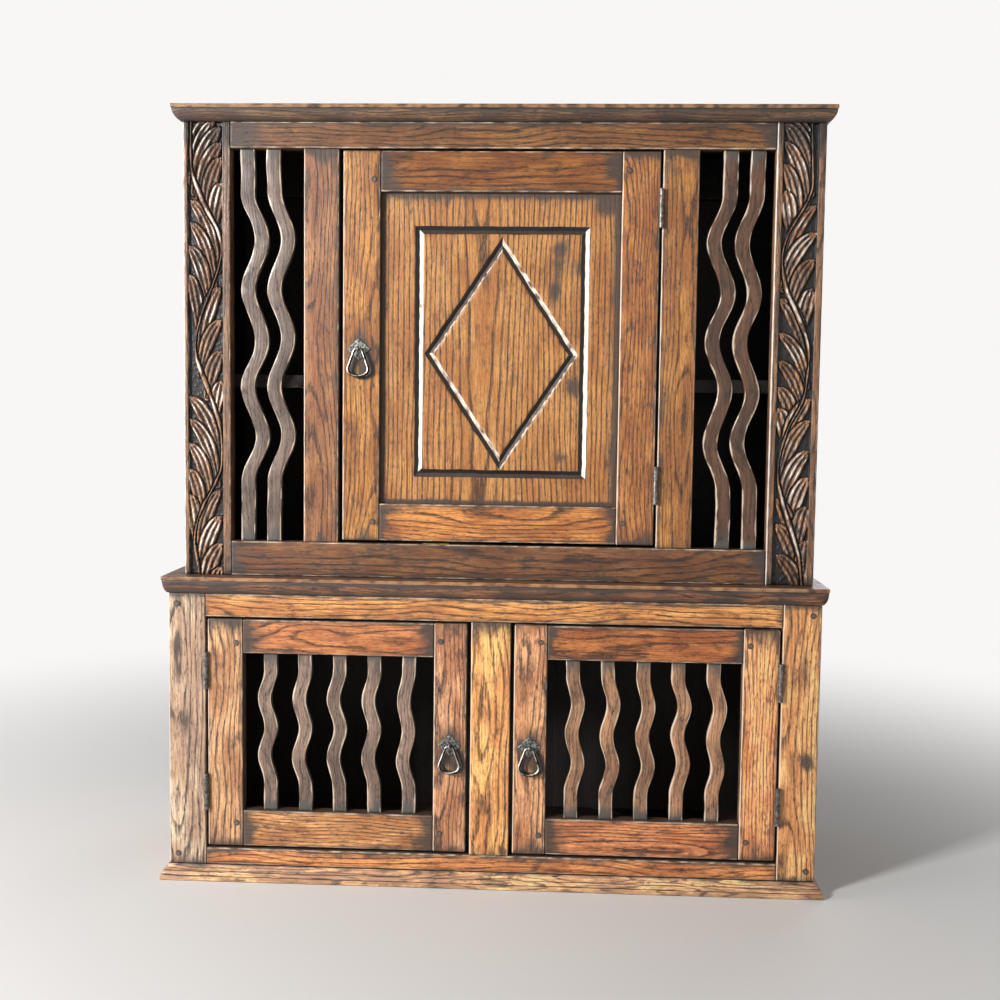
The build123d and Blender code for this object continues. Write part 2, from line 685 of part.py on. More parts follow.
def upper_tier(hinges):
    """Face frame, slats, sides, back and shelf of the upper tier."""
    y1 = y_upper + frame_thick
    y_mid = y_upper + frame_thick / 2
    frame = joined_frame(-upper_half, upper_half, z_upper, z_cornice, y_upper, frame_thick,
                         carved_stile, carved_stile, upper_foot_rail, upper_head_rail)
    grooves = [side_tongue(upper_half, y1, z_upper - overrun, z_cornice + overrun, joint_play)]
    grooves += mirrored(grooves)
    bay_inner, bay_outer = doorway_half + upper_muntin, doorway_half + upper_muntin + bay_width
    muntins, mortises = [], []
    for x0, x1 in ((-bay_inner, -doorway_half), (doorway_half, bay_inner)):
        muntin = block(x0, x1, y_upper, y1, z_upper_foot, z_upper_head)
        for tenon in muntin_tenons(x0, x1, z_upper_foot, z_upper_head, y_mid):
            muntin = muntin + tenon
        muntins.append(muntin)
        mortises += muntin_tenons(x0, x1, z_upper_foot, z_upper_head, y_mid, joint_play, mortise_spare)
    slats, sockets = {}, []
    for name, hand in (("left", -1), ("right", 1)):
        slats[name] = []
        for k in (-1, 1):
            x = hand * (bay_inner + bay_outer) / 2 + k * upper_slat_spacing_share * bay_width / 2
            place = (x, hand, z_upper_foot, z_upper_head, y_upper, upper_slat_width, upper_slat_swing)
            wave = (upper_slat_wave_share, upper_slat_waves, upper_slat_top_share)
            slats[name].append(wavy_slat(*place, *wave))
            sockets += slat_ends(*place)
    catch_seat = catch_plate(joint_play)
    save("upper_stile_left", [cut(frame["left"], grooves)], upper_shift)
    save("upper_stile_right", [cut(frame["right"], grooves)], upper_shift)
    save("upper_top_rail", [cut(frame["head"], mortises + sockets)], upper_shift)
    save("upper_bottom_rail", [cut(frame["foot"], mortises + sockets + [catch_seat])], upper_shift)
    save("upper_muntin_left", [muntins[0]], upper_shift)
    save("upper_muntin_right", [cut(muntins[1], hinges["frame_cuts"])], upper_shift)
    for name, pieces in slats.items():
        save(f"upper_slats_{name}", pieces, upper_shift)
    side = side_board(upper_half, y_upper, z_upper, z_cornice)
    save("upper_side_right", [side], upper_shift)
    save("upper_side_left", mirrored([side]), upper_shift)
    z_hole = z_cornice - wall_hole_drop
    places = (-wall_hole_spacing / 2, wall_hole_spacing / 2)
    holes = [rod_y(x, y1, y_back + overrun, z_hole, wall_hole_radius) for x in places]
    boards = [cut(board, holes) for board in back_boards(upper_half, upper_back_boards, z_upper, z_cornice)]
    save("upper_back_boards", boards, upper_shift)
    inner = upper_half - side_thick
    y_rail = y_back - back_thick
    rail = block(-inner, inner, y_rail - back_rail_thick, y_rail, z_cornice - back_rail_height, z_cornice)
    save("upper_back_rail", [cut(rail, holes)], upper_shift)
    z_shelf = z_upper + shelf_rise
    y_shelf = y1 + shelf_front_gap
    save("shelf", [block(-inner, inner, y_shelf, y_rail, z_shelf, z_shelf + shelf_thick)], upper_shift)
    bearer = block(inner - bearer_thick, inner, y_shelf, y_rail, z_shelf - bearer_height, z_shelf)
    save("shelf_bearers", [bearer] + mirrored([bearer]), upper_shift)
    save("catch_plate", [catch_plate()], upper_shift)
    cornice = moulded_board(upper_half, y_upper, z_cornice, z_top, cornice_reach, ovolo_edge)
    save("cornice_board", [cornice], upper_shift)


def catch_plate(play=0.0):
    """The brass striking plate let into the rail under the upper door."""
    x = upper_door_x0 + catch_place_share * (upper_door_x1 - upper_door_x0)
    half = catch_length / 2 + play
    y0 = y_upper + catch_setback - play
    z0 = z_upper_foot - catch_let_in
    return block(x - half, x + half, y0, y0 + catch_width + 2 * play, z0 - play, z0 + catch_thick + play)


def lower_tier(left_hinges, right_hinges):
    """Face frame, sides, back, ledge and base of the lower tier."""
    y1 = y_lower + frame_thick
    y_mid = y_lower + frame_thick / 2
    frame = joined_frame(-lower_half, lower_half, z_base, z_ledge, y_lower, frame_thick,
                         lower_stile, lower_stile, lower_foot_rail, lower_head_rail)
    grooves = [side_tongue(lower_half, y1, z_base - overrun, z_ledge + overrun, joint_play)]
    grooves += mirrored(grooves)
    places = []
    for x in (-lower_half + side_peg_inset, lower_half - side_peg_inset):
        places += [(x, z_base + side_peg_rise), (x, z_ledge - side_peg_rise)]
    pegs = [peg(x, z, y_lower, side_peg_length) for x, z in places]
    holes = [peg(x, z, y_lower, side_peg_length, joint_play) for x, z in places]
    x1 = lower_muntin / 2
    muntin = block(-x1, x1, y_lower, y1, z_lower_foot, z_lower_head)
    for tenon in muntin_tenons(-x1, x1, z_lower_foot, z_lower_head, y_mid):
        muntin = muntin + tenon
    mortises = muntin_tenons(-x1, x1, z_lower_foot, z_lower_head, y_mid, joint_play, mortise_spare)
    save("lower_stile_left", [cut(frame["left"], grooves + holes + left_hinges["frame_cuts"])])
    save("lower_stile_right", [cut(frame["right"], grooves + holes + right_hinges["frame_cuts"])])
    save("lower_top_rail", [cut(frame["head"], mortises)])
    save("lower_bottom_rail", [cut(frame["foot"], mortises)])
    save("lower_muntin", [muntin])
    side = cut(side_board(lower_half, y_lower, z_base, z_ledge), holes)
    save("lower_side_right", [side])
    save("lower_side_left", mirrored([side]))
    save("lower_back_boards", back_boards(lower_half, lower_back_boards, z_base, z_ledge))
    save("stile_pegs", pegs)
    save("ledge_board", [moulded_board(lower_half, y_lower, z_ledge, z_upper, ledge_reach, ovolo_edge)])
    save("base_board", [moulded_board(lower_half, y_lower, 0, z_base, base_reach, ogee_edge)])


def main():
    upper_heights = (upper_door_z0 + upper_hinge_rise, upper_door_z1 - upper_hinge_drop)
    lower_heights = (lower_door_z0 + lower_hinge_rise, lower_door_z1 - lower_hinge_drop)
    upper = hinge_set(upper_pin_x, upper_pin_y, y_upper, upper_heights, 1)
    left = hinge_set(-lower_pin_x, lower_pin_y, y_lower, lower_heights, -1)
    right = hinge_set(lower_pin_x, lower_pin_y, y_lower, lower_heights, 1)
    for hinges, hand in ((upper, 1), (left, -1), (right, 1)):
        hinges["hand"] = hand
    upper_tier(upper)
    lower_tier(left, right)
    nodes = {"hinge_frame_leaves": "frame_leaves", "hinge_pins": "pins", "hinge_screws": "frame_screws"}
    for node, key in nodes.items():
        shifted = [Pos(upper_shift, 0, 0) * solid for solid in upper[key]]
        save(node, shifted + left[key] + right[key])
    upper_door(upper)
    lower_door("lower_left_door", left, -1, lower_left_peg_shares)
    lower_door("lower_right_door", right, 1, lower_right_peg_shares)


main()
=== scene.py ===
"""A joined oak wall cabinet: its carved, waxed and worn surfaces, shaped over the solid model."""

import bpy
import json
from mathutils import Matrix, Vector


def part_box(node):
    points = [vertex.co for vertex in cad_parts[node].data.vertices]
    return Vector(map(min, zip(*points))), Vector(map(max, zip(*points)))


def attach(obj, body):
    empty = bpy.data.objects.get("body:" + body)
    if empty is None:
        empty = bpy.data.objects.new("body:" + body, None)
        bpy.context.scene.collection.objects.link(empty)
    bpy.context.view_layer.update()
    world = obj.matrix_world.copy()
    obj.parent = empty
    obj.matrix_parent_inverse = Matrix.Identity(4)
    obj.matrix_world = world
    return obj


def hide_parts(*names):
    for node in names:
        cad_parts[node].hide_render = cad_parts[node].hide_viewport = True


bl_info = {
    "name": "Oak Wall Cabinet",
    "version": (1, 0, 0),
    "blender": (4, 5, 0),
    "location": "View3D > Sidebar > Oak Cabinet",
    "description": "Shapes and finishes a joined oak wall cabinet over its solid model",
    "category": "Object",
}

import json
from functools import partial
from math import pi, sqrt

import bpy
import numpy as np
from bpy.props import FloatProperty, FloatVectorProperty, PointerProperty
from mathutils import Matrix, Vector

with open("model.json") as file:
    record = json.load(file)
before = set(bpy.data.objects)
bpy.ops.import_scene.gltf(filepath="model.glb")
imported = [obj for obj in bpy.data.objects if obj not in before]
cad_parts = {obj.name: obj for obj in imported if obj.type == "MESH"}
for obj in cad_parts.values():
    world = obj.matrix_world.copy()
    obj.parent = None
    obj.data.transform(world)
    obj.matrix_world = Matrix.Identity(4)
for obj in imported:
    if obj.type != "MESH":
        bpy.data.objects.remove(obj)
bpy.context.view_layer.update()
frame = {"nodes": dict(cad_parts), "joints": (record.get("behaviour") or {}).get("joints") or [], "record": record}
MM = 0.001

X, Y, Z = 0, 1, 2
CARCASE = "carcase"
DOORS = ("upper_door", "lower_left_door", "lower_right_door")
PIVOTS = {joint["name"]: np.array(joint["pos_m"]) for joint in frame["joints"]}
FINISHES = {}

# Settings of a map range that eases in and out
SOFT = {"interpolation_type": "SMOOTHSTEP"}

# Metres, past every edge of the cabinet
FAR = 9.0

# How dark a timber's face is painted: near-black inside the carcase as painted shade, and duller on the back of a
# door
INSIDE_SHADE, DULL = 1.3, 0.55

# How much red, green and blue each timber gives back, against its finish: partly its own colour and partly painted
# light, such as the pale blue-grey painted glare on the lower left stile
TINTS_AND_GLARE = {
    "cornice_board": (0.82, 0.96, 1.04),
    "upper_top_rail": (0.48, 0.45, 0.37),
    "upper_stile_left": (0.95, 0.98, 1.05),
    "upper_muntin_left": (0.73, 0.70, 0.74),
    "upper_door_lock_stile": (0.99, 0.98, 0.78),
    "upper_door_top_rail": (0.55, 0.45, 0.30),
    "upper_door_panel": (0.85, 0.76, 0.63),
    "upper_door_bottom_rail": (1.22, 1.09, 0.91),
    "upper_door_hinge_stile": (0.92, 0.83, 0.77),
    "upper_muntin_right": (0.94, 0.90, 0.62),
    "upper_bottom_rail": (0.45, 0.39, 0.34),
    "upper_slats_left": (0.59, 0.70, 1.02),
    "upper_slats_right": (0.40, 0.31, 0.26),
    "ledge_board": (1.00, 0.91, 0.94),
    "lower_top_rail": (1.47, 1.46, 1.21),
    "lower_stile_left": (1.28, 2.06, 3.81),
    "lower_stile_right": (1.95, 2.20, 2.37),
    "lower_muntin": (2.01, 2.20, 2.04),
    "lower_bottom_rail": (1.47, 1.33, 1.27),
    "lower_left_door_top_rail": (1.09, 0.92, 1.04),
    "lower_left_door_bottom_rail": (1.30, 1.42, 1.79),
    "lower_left_door_hinge_stile": (1.23, 1.53, 2.51),
    "lower_left_door_lock_stile": (1.33, 1.51, 2.55),
    "lower_left_door_slats": (0.92, 1.06, 1.51),
    "lower_right_door_top_rail": (0.94, 0.73, 0.68),
    "lower_right_door_bottom_rail": (1.32, 1.13, 1.47),
    "lower_right_door_hinge_stile": (2.01, 2.03, 2.80),
    "lower_right_door_lock_stile": (1.46, 1.64, 2.62),
    "lower_right_door_slats": (1.45, 1.32, 1.35),
    "base_board": (3.70, 4.55, 5.20),
}

# The carved stiles, in millimetres: the flat borders, the stem's points, and each leaf's tip and base
CARVINGS = {
    "upper_stile_left": {
        "borders": (6.3, 10.2),
        "stem": [(-404, 1016), (-405, 971), (-404, 948), (-400, 934), (-393, 917), (-384, 897), (-376, 883),
                 (-368, 870), (-363, 844), (-368, 820), (-378, 793), (-388, 770), (-397, 741), (-401, 716),
                 (-397, 696), (-386, 668), (-376, 642), (-367, 612), (-364, 584), (-365, 554), (-376, 530),
                 (-390, 506), (-400, 480), (-403, 454), (-398, 429), (-394, 398)],
        "leaves": [(-385, 1011, -405, 953), (-374, 1011, -404, 944), (-366, 1002, -400, 931),
                   (-365, 982, -394, 919), (-365, 963, -386, 901), (-364, 930, -375, 880),
                   (-404, 908, -370, 828), (-404, 879, -374, 805), (-406, 848, -382, 784),
                   (-406, 810, -393, 736), (-367, 794, -393, 719), (-366, 751, -393, 691),
                   (-365, 710, -384, 662), (-365, 670, -373, 633), (-406, 649, -368, 569),
                   (-406, 619, -371, 545), (-407, 587, -380, 521), (-407, 552, -391, 496),
                   (-408, 518, -400, 466), (-368, 524, -396, 452), (-367, 489, -394, 423),
                   (-366, 452, -390, 396), (-366, 420, -381, 383)],
    },
    "upper_stile_right": {
        "borders": (8.5, 9.2),
        "stem": [(404, 1016), (406, 966), (408, 929), (401, 909), (389, 890), (377, 869), (370, 843),
                 (372, 821), (378, 795), (391, 770), (404, 740), (409, 721), (409, 700), (405, 659),
                 (396, 640), (386, 623), (378, 597), (373, 575), (373, 549), (382, 516), (393, 484),
                 (404, 450), (409, 407)],
        "leaves": [(389, 1012, 404, 963), (379, 1012, 406, 948), (371, 1009, 405, 933),
                   (371, 986, 401, 910), (371, 957, 391, 892), (373, 923, 381, 875), (411, 905, 374, 834),
                   (412, 870, 373, 811), (411, 836, 384, 785), (410, 799, 398, 749), (371, 785, 404, 721),
                   (371, 741, 407, 685), (371, 705, 402, 654), (371, 671, 393, 630), (372, 643, 383, 604),
                   (411, 656, 379, 584), (411, 628, 376, 559), (411, 588, 379, 525), (411, 553, 390, 496),
                   (410, 515, 400, 466), (373, 525, 397, 462), (374, 491, 404, 425), (376, 451, 408, 402),
                   (412, 470, 408, 425)],
    },
}


def size_in_mm(name, description, millimetres):
    """A length that a user can change, given in millimetres and kept in metres."""
    return FloatProperty(name=name, description=description, default=millimetres * MM, min=0.0,
                         precision=4, unit="LENGTH")


def linear(colour):
    """An sRGB hex colour as linear red, green, blue and alpha."""
    channels = np.array([int(colour[i:i + 2], 16) for i in (1, 3, 5)]) / 255
    light = np.where(channels <= 0.04045, channels / 12.92, ((channels + 0.055) / 1.055) ** 2.4)
    return (*light.tolist(), 1.0)


# Places taken from the frame

def box(node):
    """Lowest and highest corner of a solid, in metres."""
    low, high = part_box(node)
    return np.array(low), np.array(high)


def cut_to(node, axis, before, after):
    """A solid's corners without the tenons at its two ends, which start inside its neighbours."""
    low, high = box(node)
    low[axis], high[axis] = box(before)[1][axis], box(after)[0][axis]
    return low, high


def boards_of(node, count):
    """The corners of equal boards side by side in one solid, each lapping a little into the next."""
    low, high = box(node)
    edges, lap = np.linspace(low[X], high[X], count + 1), 0.6 * MM
    for left, right in zip(edges, edges[1:]):
        start, end = low.copy(), high.copy()
        start[X], end[X] = max(left - lap, low[X]), min(right + lap, high[X])
        yield start, end


def vertices(node):
    """All vertices of a solid."""
    points = np.empty(len(frame["nodes"][node].data.vertices) * 3)
    frame["nodes"][node].data.vertices.foreach_get("co", points)
    return points.reshape(-1, 3)


def quarters(node):
    """The corners of four like solids that stand in the four quarters of one node."""
    points = vertices(node)
    middle = (points.min(0) + points.max(0)) / 2
    for right in (False, True):
        for top in (False, True):
            mine = points[((points[:, X] > middle[X]) == right) & ((points[:, Z] > middle[Z]) == top)]
            yield mine.min(0), mine.max(0)


# Numpy shapes

def waves(points, length, seed, count=9):
    """Smooth noise of about -1 to 1: a sum of sines in random directions, with lengths near the given one."""
    rng = np.random.default_rng(seed)
    directions = rng.normal(size=(count, points.shape[1]))
    directions /= np.linalg.norm(directions, axis=1, keepdims=True)
    lengths = length * rng.uniform(0.6, 1.7, count)
    phases = rng.uniform(0, 2 * pi, count)
    return np.sin(2 * pi * points @ (directions / lengths[:, None]).T + phases).sum(1) / sqrt(count)


def smooth(start, end, value):
    """0 before start, 1 after end and an S-curve between them."""
    t = np.clip((value - start) / (end - start), 0, 1)
    return t * t * (3 - 2 * t)


def bezier(corners, count):
    """Points of the cubic curve with those four corners."""
    t = np.linspace(0, 1, count)[:, None]
    a, b, c, d = np.asarray(corners, float)
    return (1 - t) ** 3 * a + 3 * (1 - t) ** 2 * t * b + 3 * (1 - t) * t * t * c + t ** 3 * d


def arc(centre, radius, start, end, count=4):
    """Points of an arc, from one angle to another in degrees."""
    angle = np.radians(np.linspace(start, end, count))[:, None]
    return np.asarray(centre, float) + radius * np.concatenate([np.cos(angle), np.sin(angle)], 1)


def divided(corners, moves, step, close=0.7 * MM):
    """A closed outline whose sides are divided, and how each point moves when the outline grows by one metre.

    A point a share s along a side moves by (1 - s) times its first corner's move and s times its second's.
    Also returns how near each point is to a corner, from 0 to 1.
    """
    points, growth, near = [], [], []
    for i in range(len(corners)):
        start, end = np.array(corners[i]), np.array(corners[(i + 1) % len(corners)])
        length = np.linalg.norm(end - start)
        inner = np.linspace(close, length - close, max(2, int(length / step)))
        share = np.concatenate([[0], inner / length])[:, None]
        points.append(start + share * (end - start))
        growth.append((1 - share) * np.array(moves[i]) + share * np.array(moves[(i + 1) % len(corners)]))
        distance = np.minimum(share[:, 0], 1 - share[:, 0]) * length
        near.append(np.exp(-distance / (1.5 * MM)))
    return np.concatenate(points), np.concatenate(growth), np.concatenate(near)


def rounded(corners, radius, step, turns=3):
    """A closed outline, anticlockwise, with arcs at its outer corners and divided sides.

    The step is one length or one for each side. Returns the points, their inward directions and how near each
    is to an outer corner, from 0 to 1.
    """
    corners = np.asarray(corners, float)
    steps = np.broadcast_to(step, len(corners))
    ahead = np.roll(corners, -1, 0) - corners
    ahead /= np.linalg.norm(ahead, axis=1, keepdims=True)
    back = np.roll(ahead, 1, 0)
    left = np.stack([-ahead[:, 1], ahead[:, 0]], 1)
    left_back = np.roll(left, 1, 0)
    outer = back[:, 0] * ahead[:, 1] - back[:, 1] * ahead[:, 0] > 0
    points, inward, near = [], [], []
    angles = np.linspace(0, pi / 2, turns + 1)[:, None]
    for i, corner in enumerate(corners):
        following = (i + 1) % len(corners)
        if outer[i]:
            directions = np.cos(angles) * left_back[i] + np.sin(angles) * left[i]
            points.append(corner + radius * (left_back[i] + left[i]) - radius * directions)
        else:
            directions = (left_back[i] + left[i])[None] / sqrt(2)
            points.append(corner[None])
        inward.append(directions)
        near.append(np.full(len(directions), float(outer[i])))
        start = corner + ahead[i] * radius * outer[i]
        end = corners[following] - ahead[i] * radius * outer[following]
        length = np.linalg.norm(end - start)
        support = min(0.6 * MM, length / 4)
        inner = np.linspace(support, length - support, max(2, int(length / steps[i])))
        points.append(start + inner[:, None] * ahead[i])
        inward.append(np.repeat(left[i][None], len(inner), 0))
        distance = np.minimum(inner if outer[i] else FAR, (length - inner) if outer[following] else FAR)
        near.append(np.exp(-distance / (0.9 * MM)))
    return np.concatenate(points), np.concatenate(inward), np.concatenate(near)


def points_at(x, y, z):
    """Points from their coordinates, each spread over rings or round a ring where it doesn't vary."""
    return np.stack(np.broadcast_arrays(x, y, z), -1).reshape(-1, 3)


def ring_faces(rings, around):
    """Four-cornered faces between closed rings, facing out where the rings turn anticlockwise."""
    ring, place = np.meshgrid(np.arange(rings - 1), np.arange(around), indexing="ij")
    ring, place = ring.ravel(), place.ravel()
    following = (place + 1) % around
    return np.stack([ring * around + place, ring * around + following,
                     (ring + 1) * around + following, (ring + 1) * around + place], 1)


def pile(points, around, layers):
    """A pile of closed rings as a shape: its points, faces, the flat caps of its ends, and its layers."""
    rings = len(points) // around
    caps = [np.arange(around)[::-1], np.arange(around) + around * (rings - 1)]
    return points, ring_faces(rings, around), caps, layers


def joined(parts):
    """Points, faces, caps and layers of several shapes as one."""
    offset, points, faces, caps, layers = 0, [], [], [], []
    for part_points, part_faces, part_caps, part_layers in parts:
        points.append(part_points)
        faces.append(part_faces + offset)
        caps += [cap + offset for cap in part_caps]
        layers.append(part_layers)
        offset += len(part_points)
    return (np.concatenate(points), np.concatenate(faces), caps,
            {key: np.concatenate([layer[key] for layer in layers]) for key in layers[0]})


def add_piece(name, shape, body, slot, *nodes, finish=None):
    """Makes a mesh of smooth four-cornered faces, flat caps and painted layers, in place of those solids."""
    points, faces, caps, layers = shape
    tone = np.outer(layers.pop("tone", np.ones(len(points))), TINTS_AND_GLARE.get(nodes[0], (1, 1, 1)))
    layers = {**layers, "tint_and_glare": tone}
    mesh = bpy.data.meshes.new(name)
    corners = np.concatenate([faces.ravel(), *caps]).astype(np.int32)
    sizes = np.concatenate([np.full(len(faces), 4), [len(cap) for cap in caps]]).astype(np.int32)
    mesh.vertices.add(len(points))
    mesh.vertices.foreach_set("co", np.ascontiguousarray(points, np.float32).ravel())
    mesh.loops.add(len(corners))
    mesh.loops.foreach_set("vertex_index", corners)
    mesh.polygons.add(len(sizes))
    mesh.polygons.foreach_set("loop_start", np.concatenate([[0], np.cumsum(sizes)[:-1]]).astype(np.int32))
    mesh.polygons.foreach_set("use_smooth", np.arange(len(sizes)) < len(faces))
    mesh.update(calc_edges=True)
    for layer, values in layers.items():
        vector = values.ndim == 2
        made = mesh.attributes.new(layer, "FLOAT_VECTOR" if vector else "FLOAT", "POINT")
        made.data.foreach_set("vector" if vector else "value", values.astype(np.float32).ravel())
    mesh.materials.append(FINISHES[finish or slot])
    piece = bpy.data.objects.new(name, mesh)
    bpy.context.scene.collection.objects.link(piece)
    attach(piece, body)
    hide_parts(*nodes)


# Timber

def fibre_place(points, along, seed):
    """Where each point lies in its tree: across, behind the face and along the grain, away from the pith."""
    rng = np.random.default_rng(seed)
    across, depth = X if along == Z else Z, X if along == Y else Y
    middle = (points.min(0) + points.max(0)) / 2
    middle[along] = 0
    place = (points - middle)[:, [across, depth, along]]
    return place + [rng.uniform(-0.035, 0.035), rng.uniform(0.02, 0.06), rng.uniform(-5, 5)]


def grime(points, low, high, along, ends, sides, whole=0.0):
    """Dirt that fades from the two ends and the two long sides of a timber's face, over whole."""
    across = X if along == Z else Z
    wander = np.clip(1 + 0.45 * waves(points, 0.03, 7), 0.4, 2)
    dirt_and_shade = np.full(len(points), float(whole))
    for axis, strengths, reach in ((along, ends, 20 * MM), (across, sides, 6 * MM)):
        for distance, strength in zip((points[:, axis] - low[axis], high[axis] - points[:, axis]), strengths):
            dirt_and_shade = np.maximum(dirt_and_shade, strength * np.exp(-np.maximum(distance, 0) / (reach * wander)))
    return dirt_and_shade


def stains(points, dirt_and_shade, spots):
    """Adds dark spots, each given by its x and z, how far it reaches in x and z, and its strength."""
    for x, z, reach_x, reach_z, strength in spots:
        away = np.hypot((points[:, X] - x * MM) / (reach_x * MM), (points[:, Z] - z * MM) / (reach_z * MM))
        dirt_and_shade = np.maximum(dirt_and_shade, strength * np.exp(-away ** 2))
    return dirt_and_shade


def timber(low, high, along, seed, arris=1.8, wear=0.7, sway=0.4, ends=(0.7, 0.7), sides=(0.35, 0.35),
           whole=0.0, inner=(), step=5.0, across=5.0, section=None, spots=()):
    """A rounded section carried along a timber, with worn arrises and faces that are a little uneven.

    Each ring is the section drawn in by arris * (1 - sin t) near an end, with t from 0 to 90 degrees. A point
    moves in by the wear near an arris, and by the sway on a face, each times a smooth noise. inner names the
    faces that lie inside the cabinet, each by its axis and side and by how dark it is painted, which inside the
    carcase is painted shade. Arrises that face left on an upright timber are paler, partly wear and partly a
    painted highlight.
    """
    u, v = ((Y, Z), (Z, X), (X, Y))[along]
    if section is None:
        section = [(low[u], low[v]), (high[u], low[v]), (high[u], high[v]), (low[u], high[v])]
    loop, inward, near = rounded(section, arris * MM, np.multiply(across, MM))
    turns = np.linspace(0, pi / 2, 4)
    rise, inset = arris * MM * (1 - np.cos(turns)), arris * MM * (1 - np.sin(turns))
    length = high[along] - low[along]
    run = np.linspace(2 * arris * MM, length - 2 * arris * MM, max(2, int(length / (step * MM))))
    stations = np.concatenate([rise, run, length - rise[::-1]]) + low[along]
    inset = np.concatenate([inset, np.zeros(len(run)), inset[::-1]])
    points = np.empty((len(stations), len(loop), 3))
    points[..., [u, v]] = loop + inward * inset[:, None, None]
    points[..., along] = stations[:, None]
    points = points.reshape(-1, 3)
    near, push = np.tile(near, len(stations)), np.tile(inward, (len(stations), 1))
    # Arrises facing left on upright timbers take more of the pale rub: partly wear, partly a painted highlight
    wear_and_highlight_side = 0.55 + 0.55 * np.clip(1.5 * push[:, 0] * (along == Z), -0.3, 1)
    wear_and_highlight = near * wear_and_highlight_side * np.clip(1 + 0.22 * waves(points, 0.018, seed + 1), 0, 1.4)
    slow = points * np.where(np.arange(3) == along, 1, 0.15)
    swayed = 0.5 * sway * MM * np.clip(1 + waves(slow, 0.16, seed + 2), 0, 2)
    shift = wear * MM * np.clip(wear_and_highlight, 0, 1) + swayed * (1 - near)
    dirt_and_shade = stains(points, grime(points, low, high, along, ends, sides, whole), spots)
    # Faces inside the cabinet take the given darkness, near-black painted shade inside the carcase
    for axis, side, dark in inner:
        edge = high[axis] if side > 0 else low[axis]
        dirt_and_shade = np.where(np.abs(points[:, axis] - edge) < 1.0 * MM, dark, dirt_and_shade)
    layers = {"fibre": fibre_place(points, along, seed), "wear_and_highlight": wear_and_highlight, "dirt_and_shade": dirt_and_shade}
    points[:, [u, v]] += push * shift[:, None]
    return pile(points, len(loop), layers)


def moulded_board(node, profile, seed):
    """A moulding carried round the front and the two ends of a board.

    Each ring is the board's outline grown by the profile's first value and set at the height of its second;
    its third and fourth are wear, and dirt with painted shade.
    """
    low, high = box(node)
    reach = profile[:, 0].max()
    left, right, front, back = low[X] + reach, high[X] - reach, low[Y] + reach, high[Y]
    outline, growth, near = divided([(left, front), (right, front), (right, back), (left, back)],
                                    [(-1, -1), (1, -1), (1, 0), (-1, 0)], 6 * MM)
    grown = outline + growth * profile[:, 0, None, None]
    points = points_at(grown[..., 0], grown[..., 1], profile[:, 1, None])
    near = np.tile(near, len(profile)) * (points[:, Y] < back - 10 * MM)
    edge = np.repeat(profile[:, 2], len(outline))
    wear_and_highlight = np.maximum(edge, near * (edge > 0)) * np.clip(0.62 + 0.22 * waves(points, 0.012, seed), 0, 1.1)
    dirt_and_shade = np.repeat(profile[:, 3], len(outline)) * np.clip(1 + 0.3 * waves(points, 0.05, seed + 1), 0.3, 1.5)
    layers = {"fibre": fibre_place(points, X, seed), "wear_and_highlight": wear_and_highlight, "dirt_and_shade": dirt_and_shade}
    drift = 0.2 * MM * np.clip(1 + waves(points * [1, 1, 0.2], 0.12, seed + 2), 0, 2) * (edge > 0)
    points[:, :2] -= np.tile(growth, (len(profile), 1)) * (0.5 * MM * wear_and_highlight + drift + 0.3 * MM * near)[:, None]
    return pile(points, len(outline), layers)


def wavy_slat(x, side, low, high, top, turns, wave, swing, width, seed, uneven):
    """A flat slat with its middle line at x + side * swing * cos(2 pi (start - z) / wave).

    It is straight above and below the waves. Its rounded section keeps its width across, as sawn, and its
    edges are spokeshaved a little unevenly.
    """
    y, z0, z1, thick = low[Y], low[Z], high[Z], high[Y] - low[Y]
    loop, inward, near = rounded([(-width / 2, 0), (width / 2, 0), (width / 2, thick), (-width / 2, thick)],
                                 1.3 * MM, 4 * MM)
    heights = np.linspace(z0, z1, int((z1 - z0) / (2.5 * MM)))
    turn = np.clip((z1 - top - heights) / wave, 0, turns) * 2 * pi
    line = x + side * swing * np.cos(turn) + uneven * waves(heights[:, None], 0.09, seed)
    points = points_at(loop[:, 0] + line[:, None], loop[:, 1] + y, heights[:, None])
    near, push = np.tile(near, len(heights)), np.tile(inward, (len(heights), 1))
    # Edges that face left are paler, partly wear and partly a painted highlight
    wear_and_highlight = near * (1 + 0.4 * push[:, 0]) * np.clip(0.7 + 0.5 * waves(points, 0.03, seed + 1), 0, 1.3)
    dirt_and_shade = grime(points, np.array([-FAR, y, z0]), np.array([FAR, y, z1]), Z, (1.0, 0.8), (0, 0), 0.12)
    # Painted shade: the side that faces right is dark
    dirt_and_shade = np.maximum(dirt_and_shade, 0.9 * (push[:, 0] < -0.9))
    dirt_and_shade = np.where(points[:, Y] > y + thick - 0.5 * MM, DULL, dirt_and_shade)
    fibre = fibre_place(points, Z, seed)
    fibre[:, 0] -= 0.5 * (np.repeat(line, len(loop)) - x)
    tone = np.full(len(points), np.random.default_rng(seed).uniform(0.85, 1.15))
    layers = {"fibre": fibre, "wear_and_highlight": wear_and_highlight, "dirt_and_shade": dirt_and_shade, "tone": tone}
    hollow = 0.25 * MM * np.clip(1 + waves(points, 0.025, seed + 2), 0, 2)
    points[:, :2] += push * (0.4 * MM * np.clip(wear_and_highlight, 0, 1) + hollow)[:, None]
    return pile(points, len(loop), layers)


